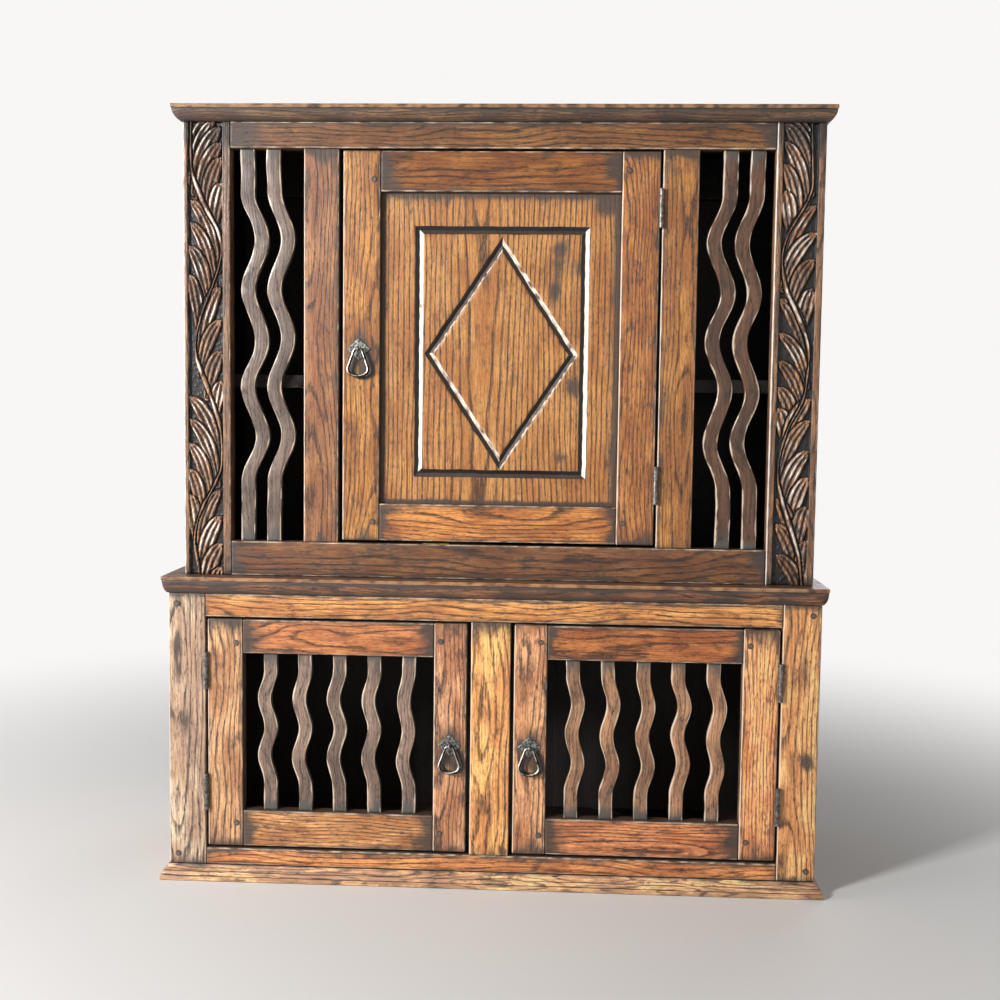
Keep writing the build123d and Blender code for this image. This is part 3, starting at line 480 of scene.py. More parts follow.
def peg_head(low, high, seed):
    """The end of a riven peg: rings round its axis, its outline a little angular and its face domed.

    The radius is r (1 + small sines of the angle), and the rings rise to 1 mm in the middle.
    """
    rng = np.random.default_rng(seed)
    middle, radius = (low + high) / 2, (high[X] - low[X]) / 2
    around = 28
    angle = np.linspace(0, 2 * pi, around, endpoint=False)
    outline = radius * (0.96 + 0.03 * np.sin(2 * angle + rng.uniform(0, 6)) + 0.01 * np.sin(5 * angle + seed))
    shares = np.array([1, 1, 0.97, 0.88, 0.7, 0.45, 0.2, 0.04])
    rise = np.array([-3.0, 0.55, 0.75, 0.87, 0.94, 0.97, 0.98, 0.98]) * MM
    reach = shares[:, None] * outline
    face = (low[Y] + 1 * MM - rise)[:, None] + 0.1 * MM * np.sin(3 * angle + seed) * shares[:, None]
    points = points_at(middle[X] + reach * np.cos(angle), face, middle[Z] + reach * np.sin(angle))
    share = np.repeat(shares, around)
    layers = {"fibre": (points - middle)[:, [X, Z, Y]] + rng.uniform(-0.004, 0.004, 3),
              "wear_and_highlight": 0.6 * smooth(0.95, 0.7, share), "dirt_and_shade": 0.15 + 0.9 * smooth(0.8, 0.98, share)}
    return pile(points, around, layers)


def grooved_panel(low, high, figure, diamond, seed):
    """A board with a V-groove along a rectangle and one along a diamond inside it, as rings round its middle.

    Each ring lies between two figures that share eight corners: the border, the rectangle, the diamond and
    the middle. A groove's depth falls evenly from its rim to its line and rises evenly again. The flanks that
    face left are painted pale as a highlight, with a thin painted highlight along their rims; the other flanks
    and the groove's floor are painted dark as shade. The margins along the frame are painted near-black as
    the frame's shade and shadow on the sunk panel.
    """
    half, depth, rim, tongue = 5.4 * MM, 3.7 * MM, 0.5 * MM, 5 * MM
    middle = (figure[0] + figure[1]) / 2
    heart = middle - [0, 1.7 * MM]
    signs = np.array([(1, -1), (1, 0), (1, 1), (0, 1), (-1, 1), (-1, 0), (-1, -1), (0, -1)])

    def rectangle(corner_low, corner_high, grow=0.0):
        reach = np.where(signs > 0, corner_high + grow, corner_low - grow)
        return np.where(signs == 0, middle, reach)

    def lozenge(grow=0.0):
        w, h = diamond
        slant = np.hypot(w, h)
        reach = np.array([w + grow * slant / h, h + grow * slant / w])
        return heart + signs * reach / np.abs(signs).sum(1, keepdims=True)

    groove = [(half, 0), (half - rim, 0.12), (0.5 * half, 0.5), (0.4 * MM, 0.95), (0, 1),
              (-0.4 * MM, 0.95), (-0.5 * half, 0.5), (rim - half, 0.12), (-half, 0)]
    figures = ((partial(rectangle, *figure), rectangle(low[[X, Z]], high[[X, Z]]),
                (0, 0.15, 0.3, 0.5, 0.7, 0.85, 0.96)),
               (lozenge, rectangle(*figure, -half), (0.05, 0.25, 0.5, 0.75, 0.95)))
    rings, depths, flanks = [], [], []
    for outline, border, shares in figures:
        rings += [border + share * (outline(half) - border) for share in shares]
        rings += [outline(grow) for grow, _ in groove]
        depths += [0.0] * len(shares) + [down for _, down in groove]
        flanks += [0.0] * len(shares) + [np.sign(grow) for grow, _ in groove]
    shares = (0.05, 0.2, 0.4, 0.6, 0.8, 0.95)
    rings += [lozenge(-half) * (1 - share) + heart * share for share in shares]
    depths, flanks = [0.0] + depths + [0.0] * len(shares), [0.0] + flanks + [0.0] * len(shares)
    rings = np.array([rings[0]] + rings)
    along = np.linspace(0, 1, 56, endpoint=False)[:, None]
    ahead = np.roll(rings, -1, 1) - rings
    flat = (rings[:, :, None] + ahead[:, :, None] * along).reshape(len(rings), -1, 2)
    ahead /= np.linalg.norm(ahead, axis=2, keepdims=True)
    facing = np.repeat(ahead * np.array(flanks)[:, None, None], len(along), 1).reshape(-1, 2)
    points = points_at(flat[..., 0], np.array([high[Y]] + [low[Y]] * (len(rings) - 1))[:, None], flat[..., 1])
    down = np.repeat(depths, flat.shape[1])
    cut = down > 0
    points[:, X] += 0.3 * MM * waves(points, 0.02, seed) * cut
    points[:, Z] += 0.3 * MM * waves(points, 0.02, seed + 1) * cut
    front = np.arange(len(points)) >= flat.shape[1]
    uneven = 0.2 * MM * np.abs(waves(points * [1, 1, 0.3], 0.05, seed + 2))
    points[:, Y] += front * (uneven + depth * down * (1 + 0.12 * waves(points, 0.05, seed + 3)))
    # Painted highlight and shade: flanks facing left are pale, with a thin pale line at their rims; the others and
    # the groove's floor are dark
    left, up = np.clip(facing[:, 1], 0, 1), np.clip(facing[:, 0], 0, 1)
    bright = left ** 3 * (1 - 0.8 * up)
    specks = np.clip(1.15 + 0.35 * waves(points, 0.008, seed + 4), 0, 1.3)
    wear_and_highlight = cut * specks * np.maximum(bright, 0.75 * left * (down < 0.2))
    dirt_and_shade = cut * np.clip(1.4 - 1.2 * bright - 0.2 * up - 0.2 * left, 0, 1.4)
    # Painted shade and shadow: the margins along the frame darken to near-black, most at the sides
    beside, above = high - points - tongue, np.minimum(points - low, high - points) - tongue
    for margin, strength, reach in ((above[:, X], 1.5, 4), (above[:, X], 0.6, 12), (above[:, Z], 1.3, 5),
                                    (beside[:, Z], 1.1, 10), (beside[:, X], 1.0, 12)):
        dirt_and_shade = np.maximum(dirt_and_shade, strength * np.exp(-np.maximum(margin, 0) / (reach * MM)))
    dirt_and_shade = np.where(front, dirt_and_shade, DULL)
    layers = {"fibre": fibre_place(points, Z, seed + 5), "wear_and_highlight": wear_and_highlight, "dirt_and_shade": dirt_and_shade}
    return pile(points, flat.shape[1], layers)


# Ironwork

def bent_loop(corners, shares, count):
    """A closed line of straight sides and round bends, as evenly spaced points.

    A bend starts its share of the shorter side before its corner. For a turn of a, its curve's handles are
    4/3 tan(a/4) / tan(a/2) of that length, which is nearly an arc.
    """
    corners = np.asarray(corners, float)
    ahead = np.roll(corners, -1, 0) - corners
    lengths = np.linalg.norm(ahead, axis=1)
    ahead /= lengths[:, None]
    bends = []
    for i, corner in enumerate(corners):
        before, after, reach = ahead[i - 1], ahead[i], shares[i] * min(lengths[i - 1], lengths[i])
        turn = np.arccos(np.dot(before, after))
        handle = reach * (1 - 4 / 3 * np.tan(turn / 4) / np.tan(turn / 2))
        bends.append(bezier([corner - before * reach, corner - before * handle, corner + after * handle,
                             corner + after * reach], 20))
    line = np.concatenate(bends + [bends[0][:1]])
    place = np.concatenate([[0], np.cumsum(np.linalg.norm(np.diff(line, axis=0), axis=1))])
    even = np.linspace(0, place[-1], count, endpoint=False)
    return np.stack([np.interp(even, place, line[:, 0]), np.interp(even, place, line[:, 1])], 1)


def drop_line():
    """The middle line of a pull's pear-shaped drop, below its pivot."""
    corners = [(4.6, 0), (-4.6, 0), (-15.4, -30.5), (0, -37.5), (15.4, -30.5)]
    return bent_loop(corners, (0.345, 0.345, 0.43, 0.54, 0.43), 90) * MM


def bent_bar(line, axis, section, radius):
    """A bar along a closed line in the plane across an axis: its section times the radius at each point."""
    tangent = np.roll(line, -1, 0) - np.roll(line, 1, 0)
    tangent /= np.linalg.norm(tangent, axis=1, keepdims=True)
    side = np.cross(axis, tangent)
    points = line[:, None] + radius[:, None, None] * (section[None, :, :1] * side[:, None]
                                                      + section[None, :, 1:] * np.asarray(axis, float))
    count, around = len(line), len(section)
    faces = ring_faces(count + 1, around) % (count * around)
    return points.reshape(-1, 3), faces, [], {}


def hammered_plate(middle, width, height, thick, seed):
    """A thin diamond: rings round its middle, with r = w h / (h |cos a| + w |sin a|), ragged and hammered."""
    angle = np.linspace(0, 2 * pi, 96, endpoint=False)
    w, h = width / 2, height / 2
    outline = w * h / (h * np.abs(np.cos(angle)) + w * np.abs(np.sin(angle)))
    ragged = np.stack([np.cos(angle), np.sin(angle)], 1)
    outline *= 0.97 - 0.03 * np.abs(waves(ragged, 0.5, seed))
    shares = np.array([1, 1, 0.985, 0.95, 0.88, 0.76, 0.62, 0.46, 0.3, 0.15, 0.03])
    rise = np.array([0, 0.55, 0.85, 1, 1, 1, 1, 1, 1, 1, 1]) * thick
    reach = shares[:, None] * outline
    points = points_at(middle[X] + reach * np.cos(angle), middle[Y] - rise[:, None],
                       middle[Z] + reach * np.sin(angle))
    dents = np.clip(1 + waves(points, 0.006, seed + 1), 0, 2) * (np.repeat(rise, len(angle)) > 0)
    points[:, Y] += 0.3 * MM * dents
    return pile(points, len(angle), {})


# Carving

def strip_place(points, line, half):
    """How far each point lies left or right of a line, the strip's half width there, and its share along."""
    away = points[:, None] - line[None]
    nearest = (away ** 2).sum(2).argmin(1)
    tangent = np.gradient(line, axis=0)
    offset = away[np.arange(len(points)), nearest]
    side = tangent[nearest, 0] * offset[:, 1] - tangent[nearest, 1] * offset[:, 0]
    return np.copysign(np.hypot(*offset.T), side), half[nearest], nearest / (len(line) - 1)


def foliage(points, stem, leaves, width, seed):
    """Height of carved leaves at points (x, z), from 0 at the ground to 1 at the face.

    A leaf is a tongue round a bowed line from the stem to its tip: it widens, then closes in a round end. At
    a share a of its half width from that line the height rises with |cos 1.5 pi a|, which makes three crests
    that die out at the tip. Each leaf covers those above it, and the stem, a round bar along a smooth line,
    covers them all. Also returns how much of a tip a point is.
    """
    rng = np.random.default_rng(seed)
    height, tips, share = np.zeros(len(points)), np.zeros(len(points)), np.linspace(0, 1, 40)
    for tip_x, tip_z, base_x, base_z in sorted(leaves, key=lambda leaf: -leaf[1] - leaf[3]):
        base, tip = np.array([base_x, base_z - 12]) * MM, np.array([tip_x, tip_z]) * MM
        run = tip - base
        line = bezier([base, base + run * (0.08, 0.35), base + run * (0.4, 0.8), tip], len(share))
        swell = 0.5 + 0.5 * smooth(0, 0.6, share) - 0.25 * smooth(0.6, 1, share)
        half = width * rng.uniform(0.9, 1.1) * swell
        half *= np.sqrt(1 - np.clip((share - 0.8) / 0.21, 0, 1) ** 2)
        around_low, around_high = line.min(0) - 2 * width, line.max(0) + 2 * width
        near = np.flatnonzero(((points > around_low) & (points < around_high)).all(1))
        offset, reach, along = strip_place(points[near], line, half)
        across, gap = offset / np.maximum(reach, 0.5 * MM), np.abs(offset) - reach
        crests = 0.36 + 0.62 * np.abs(np.cos(1.5 * pi * np.clip(across, -1.05, 1.05))) ** 0.9
        cap = smooth(0.86, 1.0, along)
        body = rng.uniform(0.86, 1.0) * (crests * (1 - cap) + 0.8 * cap)
        body = body * (0.75 + 0.25 * smooth(0, 0.6, along)) * smooth(0.9 * MM, -0.9 * MM, gap)
        mine = gap < 1.2 * MM
        height[near] = np.where(mine, body, height[near])
        tips[near] = np.where(mine, cap * smooth(0.5 * MM, -MM, gap), tips[near])
    knots = np.array(stem, float)[::-1]
    levels = np.arange(knots[0, 1], knots[-1, 1], 1.5)
    line = np.stack([np.interp(levels, knots[:, 1], knots[:, 0]), levels], 1) * MM
    smoothings = 40
    for _ in range(smoothings):
        line[1:-1] = (line[:-2] + 2 * line[1:-1] + line[2:]) / 4
    leaning = np.gradient(line[:, 0], line[:, 1])
    half = (1.5 + 1.7 * smooth(0, -0.45, leaning) + 0.3 * waves(line, 0.03, seed)) * MM
    offset, reach, _ = strip_place(points, line, half)
    gap = np.abs(offset) - reach
    high = 0.8 + 0.17 * smooth(1.6 * MM, 2.8 * MM, reach)
    body = (high - 0.35 * np.clip(np.abs(offset) / reach, 0, 1) ** 2) * smooth(0.8 * MM, -0.8 * MM, gap)
    mine = gap < 1.5 * MM
    return np.where(mine, body, height), np.where(mine, 0, tips)


def carved_stile(low, high, stem, leaves, borders, depth, width, seed, arris):
    """A stile whose front is sunk between two flat borders to the depth that the foliage leaves."""
    points, faces, caps, layers = timber(low, high, Z, seed, arris, step=0.8, across=(0.7, 6, 6, 6),
                                         sides=(0.2, 0.4), ends=(0.8, 0.9), inner=[(Y, 1, INSIDE_SHADE)], sway=0.2)
    left, right, slope, skin = low[X] + borders[0] * MM, high[X] - borders[1] * MM, 0.8 * MM, 0.3 * MM
    field = smooth(left, left + slope, points[:, X]) * smooth(right, right - slope, points[:, X])
    field *= points[:, Y] < low[Y] + 3 * MM
    inside = np.flatnonzero(field > 0)
    height, tips = np.zeros(len(points)), np.zeros(len(points))
    height[inside], tips[inside] = foliage(points[inside][:, [X, Z]], stem, leaves, width, seed)
    chipped = np.clip(height + 0.06 * waves(points[:, [X, Z]], 0.006, seed + 5), 0, 1)
    points[:, Y] += field * (skin + depth * (1 - chipped))
    rub_and_highlight = np.clip(0.75 + 0.4 * waves(points, 0.02, seed + 6), 0, 1.2)
    wall = 4 * field * (1 - field)
    layers["wear_and_highlight"] = np.where(field > 0, smooth(0.74, 0.98, height) * rub_and_highlight * (1 - 0.8 * tips), layers["wear_and_highlight"])
    layers["wear_and_highlight"] = np.maximum(layers["wear_and_highlight"], wall * rub_and_highlight)
    hollow = np.where(field > 0, 0.2 + 1.3 * smooth(0.75, 0.15, height) - 0.6 * tips, layers["dirt_and_shade"])
    top = 0.62 * smooth(high[Z] - 70 * MM, high[Z] - 15 * MM, points[:, Z])
    layers["dirt_and_shade"] = np.maximum(hollow, top)
    return points, faces, caps, layers


# Materials

def add_node(tree, kind, inputs=(), **settings):
    """Adds a shader node with its settings; an input takes a value, a hex colour, or what feeds it."""
    made = tree.nodes.new(f"ShaderNode{kind}")
    for name, value in settings.items():
        setattr(made, name, value)
    sockets = [socket for socket in made.inputs if socket.enabled]
    for key, value in (inputs.items() if isinstance(inputs, dict) else enumerate(inputs)):
        socket = sockets[key] if isinstance(key, int) else next(s for s in sockets if s.name == key)
        if isinstance(value, bpy.types.Node):
            value = next(output for output in value.outputs if output.enabled)
        if isinstance(value, bpy.types.NodeSocket):
            tree.links.new(value, socket)
        else:
            socket.default_value = linear(value) if isinstance(value, str) else value
    return made


def new_material(name):
    """An empty material and the function that adds its nodes."""
    material = FINISHES[name] = bpy.data.materials.new(f"{name}_finish")
    material.use_nodes = True
    material.node_tree.nodes.clear()
    return partial(add_node, material.node_tree)


def oak(name, pale, warm, deep, gloom, spacing=5.0, wander=48.0, blotch=0.6, shine=0.4, lines=0.85,
        soil_and_shade="#3A302A", rub_and_highlight="#DCC6AE", rubbing_and_highlight=0.85, waver=4.5):
    """Old waxed oak, planed by hand.

    The eye sees growth rings as dark open-pored lines, bent by a slow noise, short dark pores, a red
    and honey cloudiness under the wax, dirt and painted shade in the corners, inner faces painted near-black
    as shade, and pale arrises and groove flanks that are partly polish and partly painted highlight. Spacing,
    wander and waver are in millimetres. Rings and pores are drawn two to three times coarser than real oak's,
    so that they show at this distance.
    """
    pore, unlit = "#1C110A", "#0E0A07"
    add = new_material(name)
    place, tint_and_glare = (add("Attribute", attribute_name=layer).outputs["Vector"] for layer in ("fibre", "tint_and_glare"))
    dirt_and_shade, wear_and_highlight = (add("Attribute", attribute_name=layer).outputs["Fac"] for layer in ("dirt_and_shade", "wear_and_highlight"))

    # Noises, each with its size across, behind and along the grain in millimetres
    noise = {}
    for key, size, detail, rough in (("slow", (120, 120, 330), 2, 0.5), ("quick", (14, 20, 60), 3, 0.5),
                                     ("fibres", (1.8, 2.2, 38), 3, 0.6), ("pores", (1.5, 1.8, 8), 2, 0.6),
                                     ("cloud", (30, 40, 90), 3, 0.6), ("patches", (16, 20, 34), 5, 0.7)):
        scaled = add("VectorMath", [place, [1000 / length for length in size]], operation="MULTIPLY")
        noise[key] = add("TexNoise", {"Vector": scaled, "Scale": 1.0, "Detail": detail, "Roughness": rough})

    # Distance from the pith, bent by the noises; each ring's first part is open-pored and dark
    flat = add("VectorMath", [place, (1, 1, 0)], operation="MULTIPLY")
    ring = add("VectorMath", [flat], operation="LENGTH").outputs["Value"]
    ring = add("Math", [noise["slow"], wander * MM, ring], operation="MULTIPLY_ADD")
    ring = add("Math", [noise["quick"], waver * MM, ring], operation="MULTIPLY_ADD")
    ring = add("Math", [ring, 1000 / spacing], operation="MULTIPLY")
    cycle = add("Math", [ring], operation="FRACT")
    fading = add("MapRange", [cycle, 0.06, 0.36, 1.0, 0.0], **SOFT)
    rising = add("MapRange", [cycle, 0.9, 1.0], **SOFT)
    early = add("Math", [fading, rising], operation="MAXIMUM")

    # Clouds, streaks, rings, blotches and pores, laid over each other
    cloudy = add("MapRange", [noise["cloud"], 0.38, 0.62], **SOFT)
    streaks = add("MapRange", [noise["fibres"], 0.42, 0.62, 0.0, 0.6], **SOFT)
    broken = add("MapRange", [noise["fibres"], 0.3, 0.56, 0.35 * lines, lines], **SOFT)
    grain = add("Math", [early, broken], operation="MULTIPLY")
    patchy = add("MapRange", [noise["patches"], 0.56, 0.66, 0.0, blotch], **SOFT)
    open_pores = add("MapRange", [noise["pores"], 0.54, 0.62], **SOFT)
    crowded = add("Math", [early, 0.45, 0.4], operation="MULTIPLY_ADD")
    holes = add("Math", [open_pores, crowded], operation="MULTIPLY")
    colour = warm
    for share, paint in ((cloudy, pale), (streaks, deep), (grain, gloom), (patchy, gloom), (holes, pore)):
        colour = add("Mix", [share, colour, paint], data_type="RGBA")
    # Each timber's tint, which on the lower left stile also holds painted glare
    colour = add("VectorMath", [colour, tint_and_glare], operation="MULTIPLY")
    colour = add("VectorMath", [colour, (0.82, 0.82, 0.82)], operation="MINIMUM")

    # Dirt and painted shade darken where the layer says, broken up by the patches; inner faces are painted almost
    # black as shade, and the pale rub is partly polish and partly painted highlight
    spread = add("Math", [noise["patches"], 0.9, dirt_and_shade], operation="MULTIPLY_ADD")
    darkened = add("MapRange", [spread, 0.66, 1.2, 0.0, 0.92], **SOFT)
    inner = add("MapRange", [dirt_and_shade, 1.1, 1.4], **SOFT)
    polish_and_highlight_level = add("Math", [noise["pores"], 0.5, wear_and_highlight], operation="MULTIPLY_ADD")
    polish_and_highlight = add("MapRange", [polish_and_highlight_level, 0.62, 1.1, 0.0, rubbing_and_highlight], **SOFT)
    for share, paint in ((darkened, soil_and_shade), (inner, unlit), (polish_and_highlight, rub_and_highlight)):
        colour = add("Mix", [share, colour, paint], data_type="RGBA")

    rough = add("Math", [holes, 0.25, shine], operation="MULTIPLY_ADD")
    rough = add("Math", [darkened, 0.14, rough], operation="MULTIPLY_ADD")
    rough = add("Math", [polish_and_highlight, -0.2, rough], operation="MULTIPLY_ADD")
    relief = add("Math", [grain, -0.7, noise["fibres"]], operation="MULTIPLY_ADD")
    relief = add("Math", [holes, -1.0, relief], operation="MULTIPLY_ADD")
    bump = add("Bump", {"Height": relief, "Strength": 0.6, "Distance": 0.4 * MM})
    shader = add("BsdfPrincipled", {"Base Color": colour, "Roughness": rough, "Normal": bump, "IOR": 1.5,
                                    "Coat Weight": 0.08, "Coat Roughness": 0.28})
    add("OutputMaterial", [shader])


def metal(name, pale, dark, size, roughness, metallic, dent, bare=0.7):
    """Old forged or rolled metal: dull oxide, rubbed bright in specks and pale where the wear-and-highlight layer
    says, which on the drop is a painted highlight, with soft hammer marks.

    Marks of the given size and specks of 0.8 mm add up, and where their sum passes bare the metal shows.
    """
    add = new_material(name)
    place = add("TexCoord").outputs["Object"]
    marks = add("TexNoise", {"Vector": place, "Scale": 1000 / size, "Detail": 2.0})
    specks = add("TexNoise", {"Vector": place, "Scale": 1000 / 0.8, "Detail": 3.0})
    wear_and_highlight = add("Attribute", attribute_name="wear_and_highlight").outputs["Fac"]
    shade = add("Math", [specks, 0.8, marks], operation="MULTIPLY_ADD")
    shade = add("Math", [wear_and_highlight, 0.6, shade], operation="MULTIPLY_ADD")
    pale_share = add("MapRange", [shade, bare, bare + 0.45], **SOFT)
    colour = add("Mix", [pale_share, dark, pale], data_type="RGBA")
    rough = add("Math", [specks, 0.2, roughness], operation="MULTIPLY_ADD")
    bump = add("Bump", {"Height": marks, "Strength": 0.5, "Distance": dent * MM})
    shader = add("BsdfPrincipled", {"Base Color": colour, "Roughness": rough, "Normal": bump,
                                    "Metallic": metallic})
    add("OutputMaterial", [shader])


# Operators

class CabinetSizes(bpy.types.PropertyGroup):
    """Sizes and colours that a maker would change."""
    arris: size_in_mm("Arris", "Radius of the timbers' edges", 1.8)
    carving_depth: size_in_mm("Carving depth", "How deep the foliage's ground lies", 5.5)
    slat_uneven: size_in_mm("Slat unevenness", "How far a slat's line wanders", 0.6)
    floor: FloatVectorProperty(name="Floor", description="Colour of the floor", subtype="COLOR",
                               default=linear("#DEDDDB")[:3])


class MakeFinishes(bpy.types.Operator):
    """Mixes the finishes and gives each solid its own"""
    bl_idname = "oak_cabinet.make_finishes"
    bl_label = "Finishes"

    def execute(self, context):
        # Rails and stiles: red-brown, with bold dark rings
        oak("oak_frame", "#C98F58", "#A46A3E", "#70432A", "#3A2216")
        # Doors: a little more golden, where hands have kept the wax thin
        oak("oak_door", "#CC8F50", "#A66935", "#703F22", "#3C2315", spacing=4.6)
        # Panel: the palest board, with straight wide rings and groove flanks painted nearly white as a highlight
        oak("oak_panel", "#D6A062", "#BC8046", "#8E5930", "#42260F", spacing=6.4, wander=30.0, waver=2.4,
            blotch=0.45, lines=0.92, rub_and_highlight="#E4DACB", rubbing_and_highlight=0.95)
        # Mouldings: dark with handling and dust, tan on their crests
        oak("oak_moulding", "#9A6C46", "#64422F", "#42291E", "#221712", spacing=3.0, blotch=0.8,
            rub_and_highlight="#B08860", rubbing_and_highlight=0.65)
        # Carving: nearly black ground, brown flanks and crests polished to bone
        oak("oak_carved", "#A87C58", "#7E563A", "#4E3627", "#2A201A", spacing=3.5, soil_and_shade="#201D1A",
            rub_and_highlight="#DCD3C8")
        # Slats: grey-brown, dusty at their feet
        oak("oak_slats", "#A07C5A", "#785A40", "#523D2C", "#30251C", spacing=3.6, blotch=0.6, lines=0.5,
            soil_and_shade="#4C4A45")
        # Sides: the frame's colour, less handled
        oak("oak_sides", "#B47B48", "#8A5832", "#5C3A22", "#312016")
        # Backs and shelf: unwaxed, dull and dark
        oak("oak_inner", "#7A5A3E", "#5E432D", "#44301F", "#2A1D14", spacing=5.5, blotch=0.8, shine=0.6,
            rubbing_and_highlight=0.1)
        # Pegs: end grain, darker than the wood round it
        oak("oak_pegs", "#5C4B3E", "#42362D", "#2E2620", "#1C1815", spacing=1.4, wander=6.0, rubbing_and_highlight=0.15)
        # Wrought iron, hammered: grey scale with lighter flecks
        metal("wrought_iron", "#9A9C94", "#3A3B37", 2.6, 0.4, 0.8, 0.7)
        # Wrought iron, handled: black, with a pale painted highlight along the drop's front-left crest
        metal("black_iron", "#BAB5AA", "#1E1A18", 7.0, 0.3, 0.9, 0.3, bare=0.98)
        # Mild steel, rolled: grey, smooth and a little stained
        metal("steel", "#8B8984", "#4B4641", 5.0, 0.34, 0.9, 0.2)
        # Brass, cast: dull gold with brown tarnish
        metal("brass", "#C29A54", "#6E5228", 4.0, 0.32, 1.0, 0.15)
        slots = {part["node"]: part["material_slot"] for part in frame["record"]["subparts"]}
        for node, solid in frame["nodes"].items():
            for place in solid.material_slots:
                place.material = FINISHES[slots[node]]
        return {"FINISHED"}


class MakeFrames(bpy.types.Operator):
    """Shapes the rails, muntins and plain stiles of both face frames"""
    bl_idname = "oak_cabinet.make_frames"
    bl_label = "Face Frames"

    def execute(self, context):
        arris = context.scene.oak_cabinet.arris / MM
        # Seed, node, the two that it runs between, dirt at its ends, at its sides and all over, and spots
        members = (
            (11, "upper_top_rail", "stiles", (1.0, 1.0), (0.5, 0.9), 0.0, [(-335, 985, 34, 40, 0.8)]),
            (12, "upper_bottom_rail", "stiles", (0.9, 0.9), (0.9, 0.6), 0.3, []),
            (13, "lower_top_rail", "stiles", (0.6, 0.6), (0.7, 0.9), 0.0, []),
            (14, "lower_bottom_rail", "stiles", (0.6, 0.6), (0.6, 0.9), 0.0, []),
            (21, "upper_muntin_left", "rails", (0.6, 1.1), (0.4, 0.8), 0.0, []),
            (22, "upper_muntin_right", "rails", (0.6, 1.1), (0.8, 0.5), 0.0, []),
            (23, "lower_muntin", "rails", (0.5, 0.7), (0.3, 0.3), 0.0, []),
            (27, "lower_stile_left", "ends", (0.7, 0.8), (0.5, 0.5), 0.0,
             [(-421, 322, 7, 30, 0.7), (-410, 214, 9, 22, 0.7)]),
            (28, "lower_stile_right", "ends", (0.7, 0.8), (0.5, 0.5), 0.0,
             [(418, 181, 9, 15, 1.0), (412, 300, 8, 40, 0.6)]))
        for seed, node, between, ends, sides, whole, spots in members:
            tier, along = node.split("_")[0], X if between == "stiles" else Z
            neighbours = {"stiles": (f"{tier}_stile_left", f"{tier}_stile_right"),
                          "rails": (f"{tier}_bottom_rail", f"{tier}_top_rail")}
            low, high = box(node) if between == "ends" else cut_to(node, along, *neighbours[between])
            shape = timber(low, high, along, seed, arris, ends=ends, sides=sides, whole=whole,
                           inner=[(Y, 1, INSIDE_SHADE)], spots=spots)
            add_piece(f"{node}.wood", shape, CARCASE, "oak_frame", node)
        return {"FINISHED"}


class MakeBoards(bpy.types.Operator):
    """Shapes the sides, backs, shelf and bearers"""
    bl_idname = "oak_cabinet.make_boards"
    bl_label = "Sides and Backs"

    def execute(self, context):
        for number, tier in enumerate(("upper", "lower")):
            back_low, back_high = box(f"{tier}_back_boards")
            for hand, side in ((-1, "left"), (1, "right")):
                node = f"{tier}_side_{side}"
                low, high = box(node)
                low[Y] = box(f"{tier}_stile_{side}")[1][Y]
                inner_x, outer_x = (low[X], high[X]) if hand > 0 else (high[X], low[X])
                rebate_x = (back_high if hand > 0 else back_low)[X]
                section = [(inner_x, low[Y]), (outer_x, low[Y]), (outer_x, high[Y]), (rebate_x, high[Y]),
                           (rebate_x, back_low[Y]), (inner_x, back_low[Y])]
                shape = timber(low, high, Z, 60 + 4 * number + hand, 1.5, section=section[::hand], step=8.0,
                               ends=(0.8, 0.8), sides=(0, 0), inner=[(X, -hand, INSIDE_SHADE)])
                add_piece(f"{node}.wood", shape, CARCASE, "oak_sides", node)
            boards = [timber(low, high, Z, 70 + 10 * number + i, 0.8, step=14.0, ends=(0.5, 0.5),
                             sides=(1.1, 1.1), inner=[(Y, -1, INSIDE_SHADE)])
                      for i, (low, high) in enumerate(boards_of(f"{tier}_back_boards", 5))]
            add_piece(f"{tier}_back_boards.wood", joined(boards), CARCASE, "oak_inner", f"{tier}_back_boards")
        for seed, node in ((91, "upper_back_rail"), (92, "shelf")):
            shape = timber(*box(node), X, seed, 1.0, step=12.0, whole=INSIDE_SHADE)
            add_piece(f"{node}.wood", shape, CARCASE, "oak_inner", node)
        low, high = box("shelf_bearers")
        bearer = 22 * MM
        pair = [timber(np.array([x, low[Y], low[Z]]), np.array([x + bearer, high[Y], high[Z]]), Y, 95, 1.0,
                       step=12.0, whole=INSIDE_SHADE) for x in (low[X], high[X] - bearer)]
        add_piece("shelf_bearers.wood", joined(pair), CARCASE, "oak_inner", "shelf_bearers")
        return {"FINISHED"}


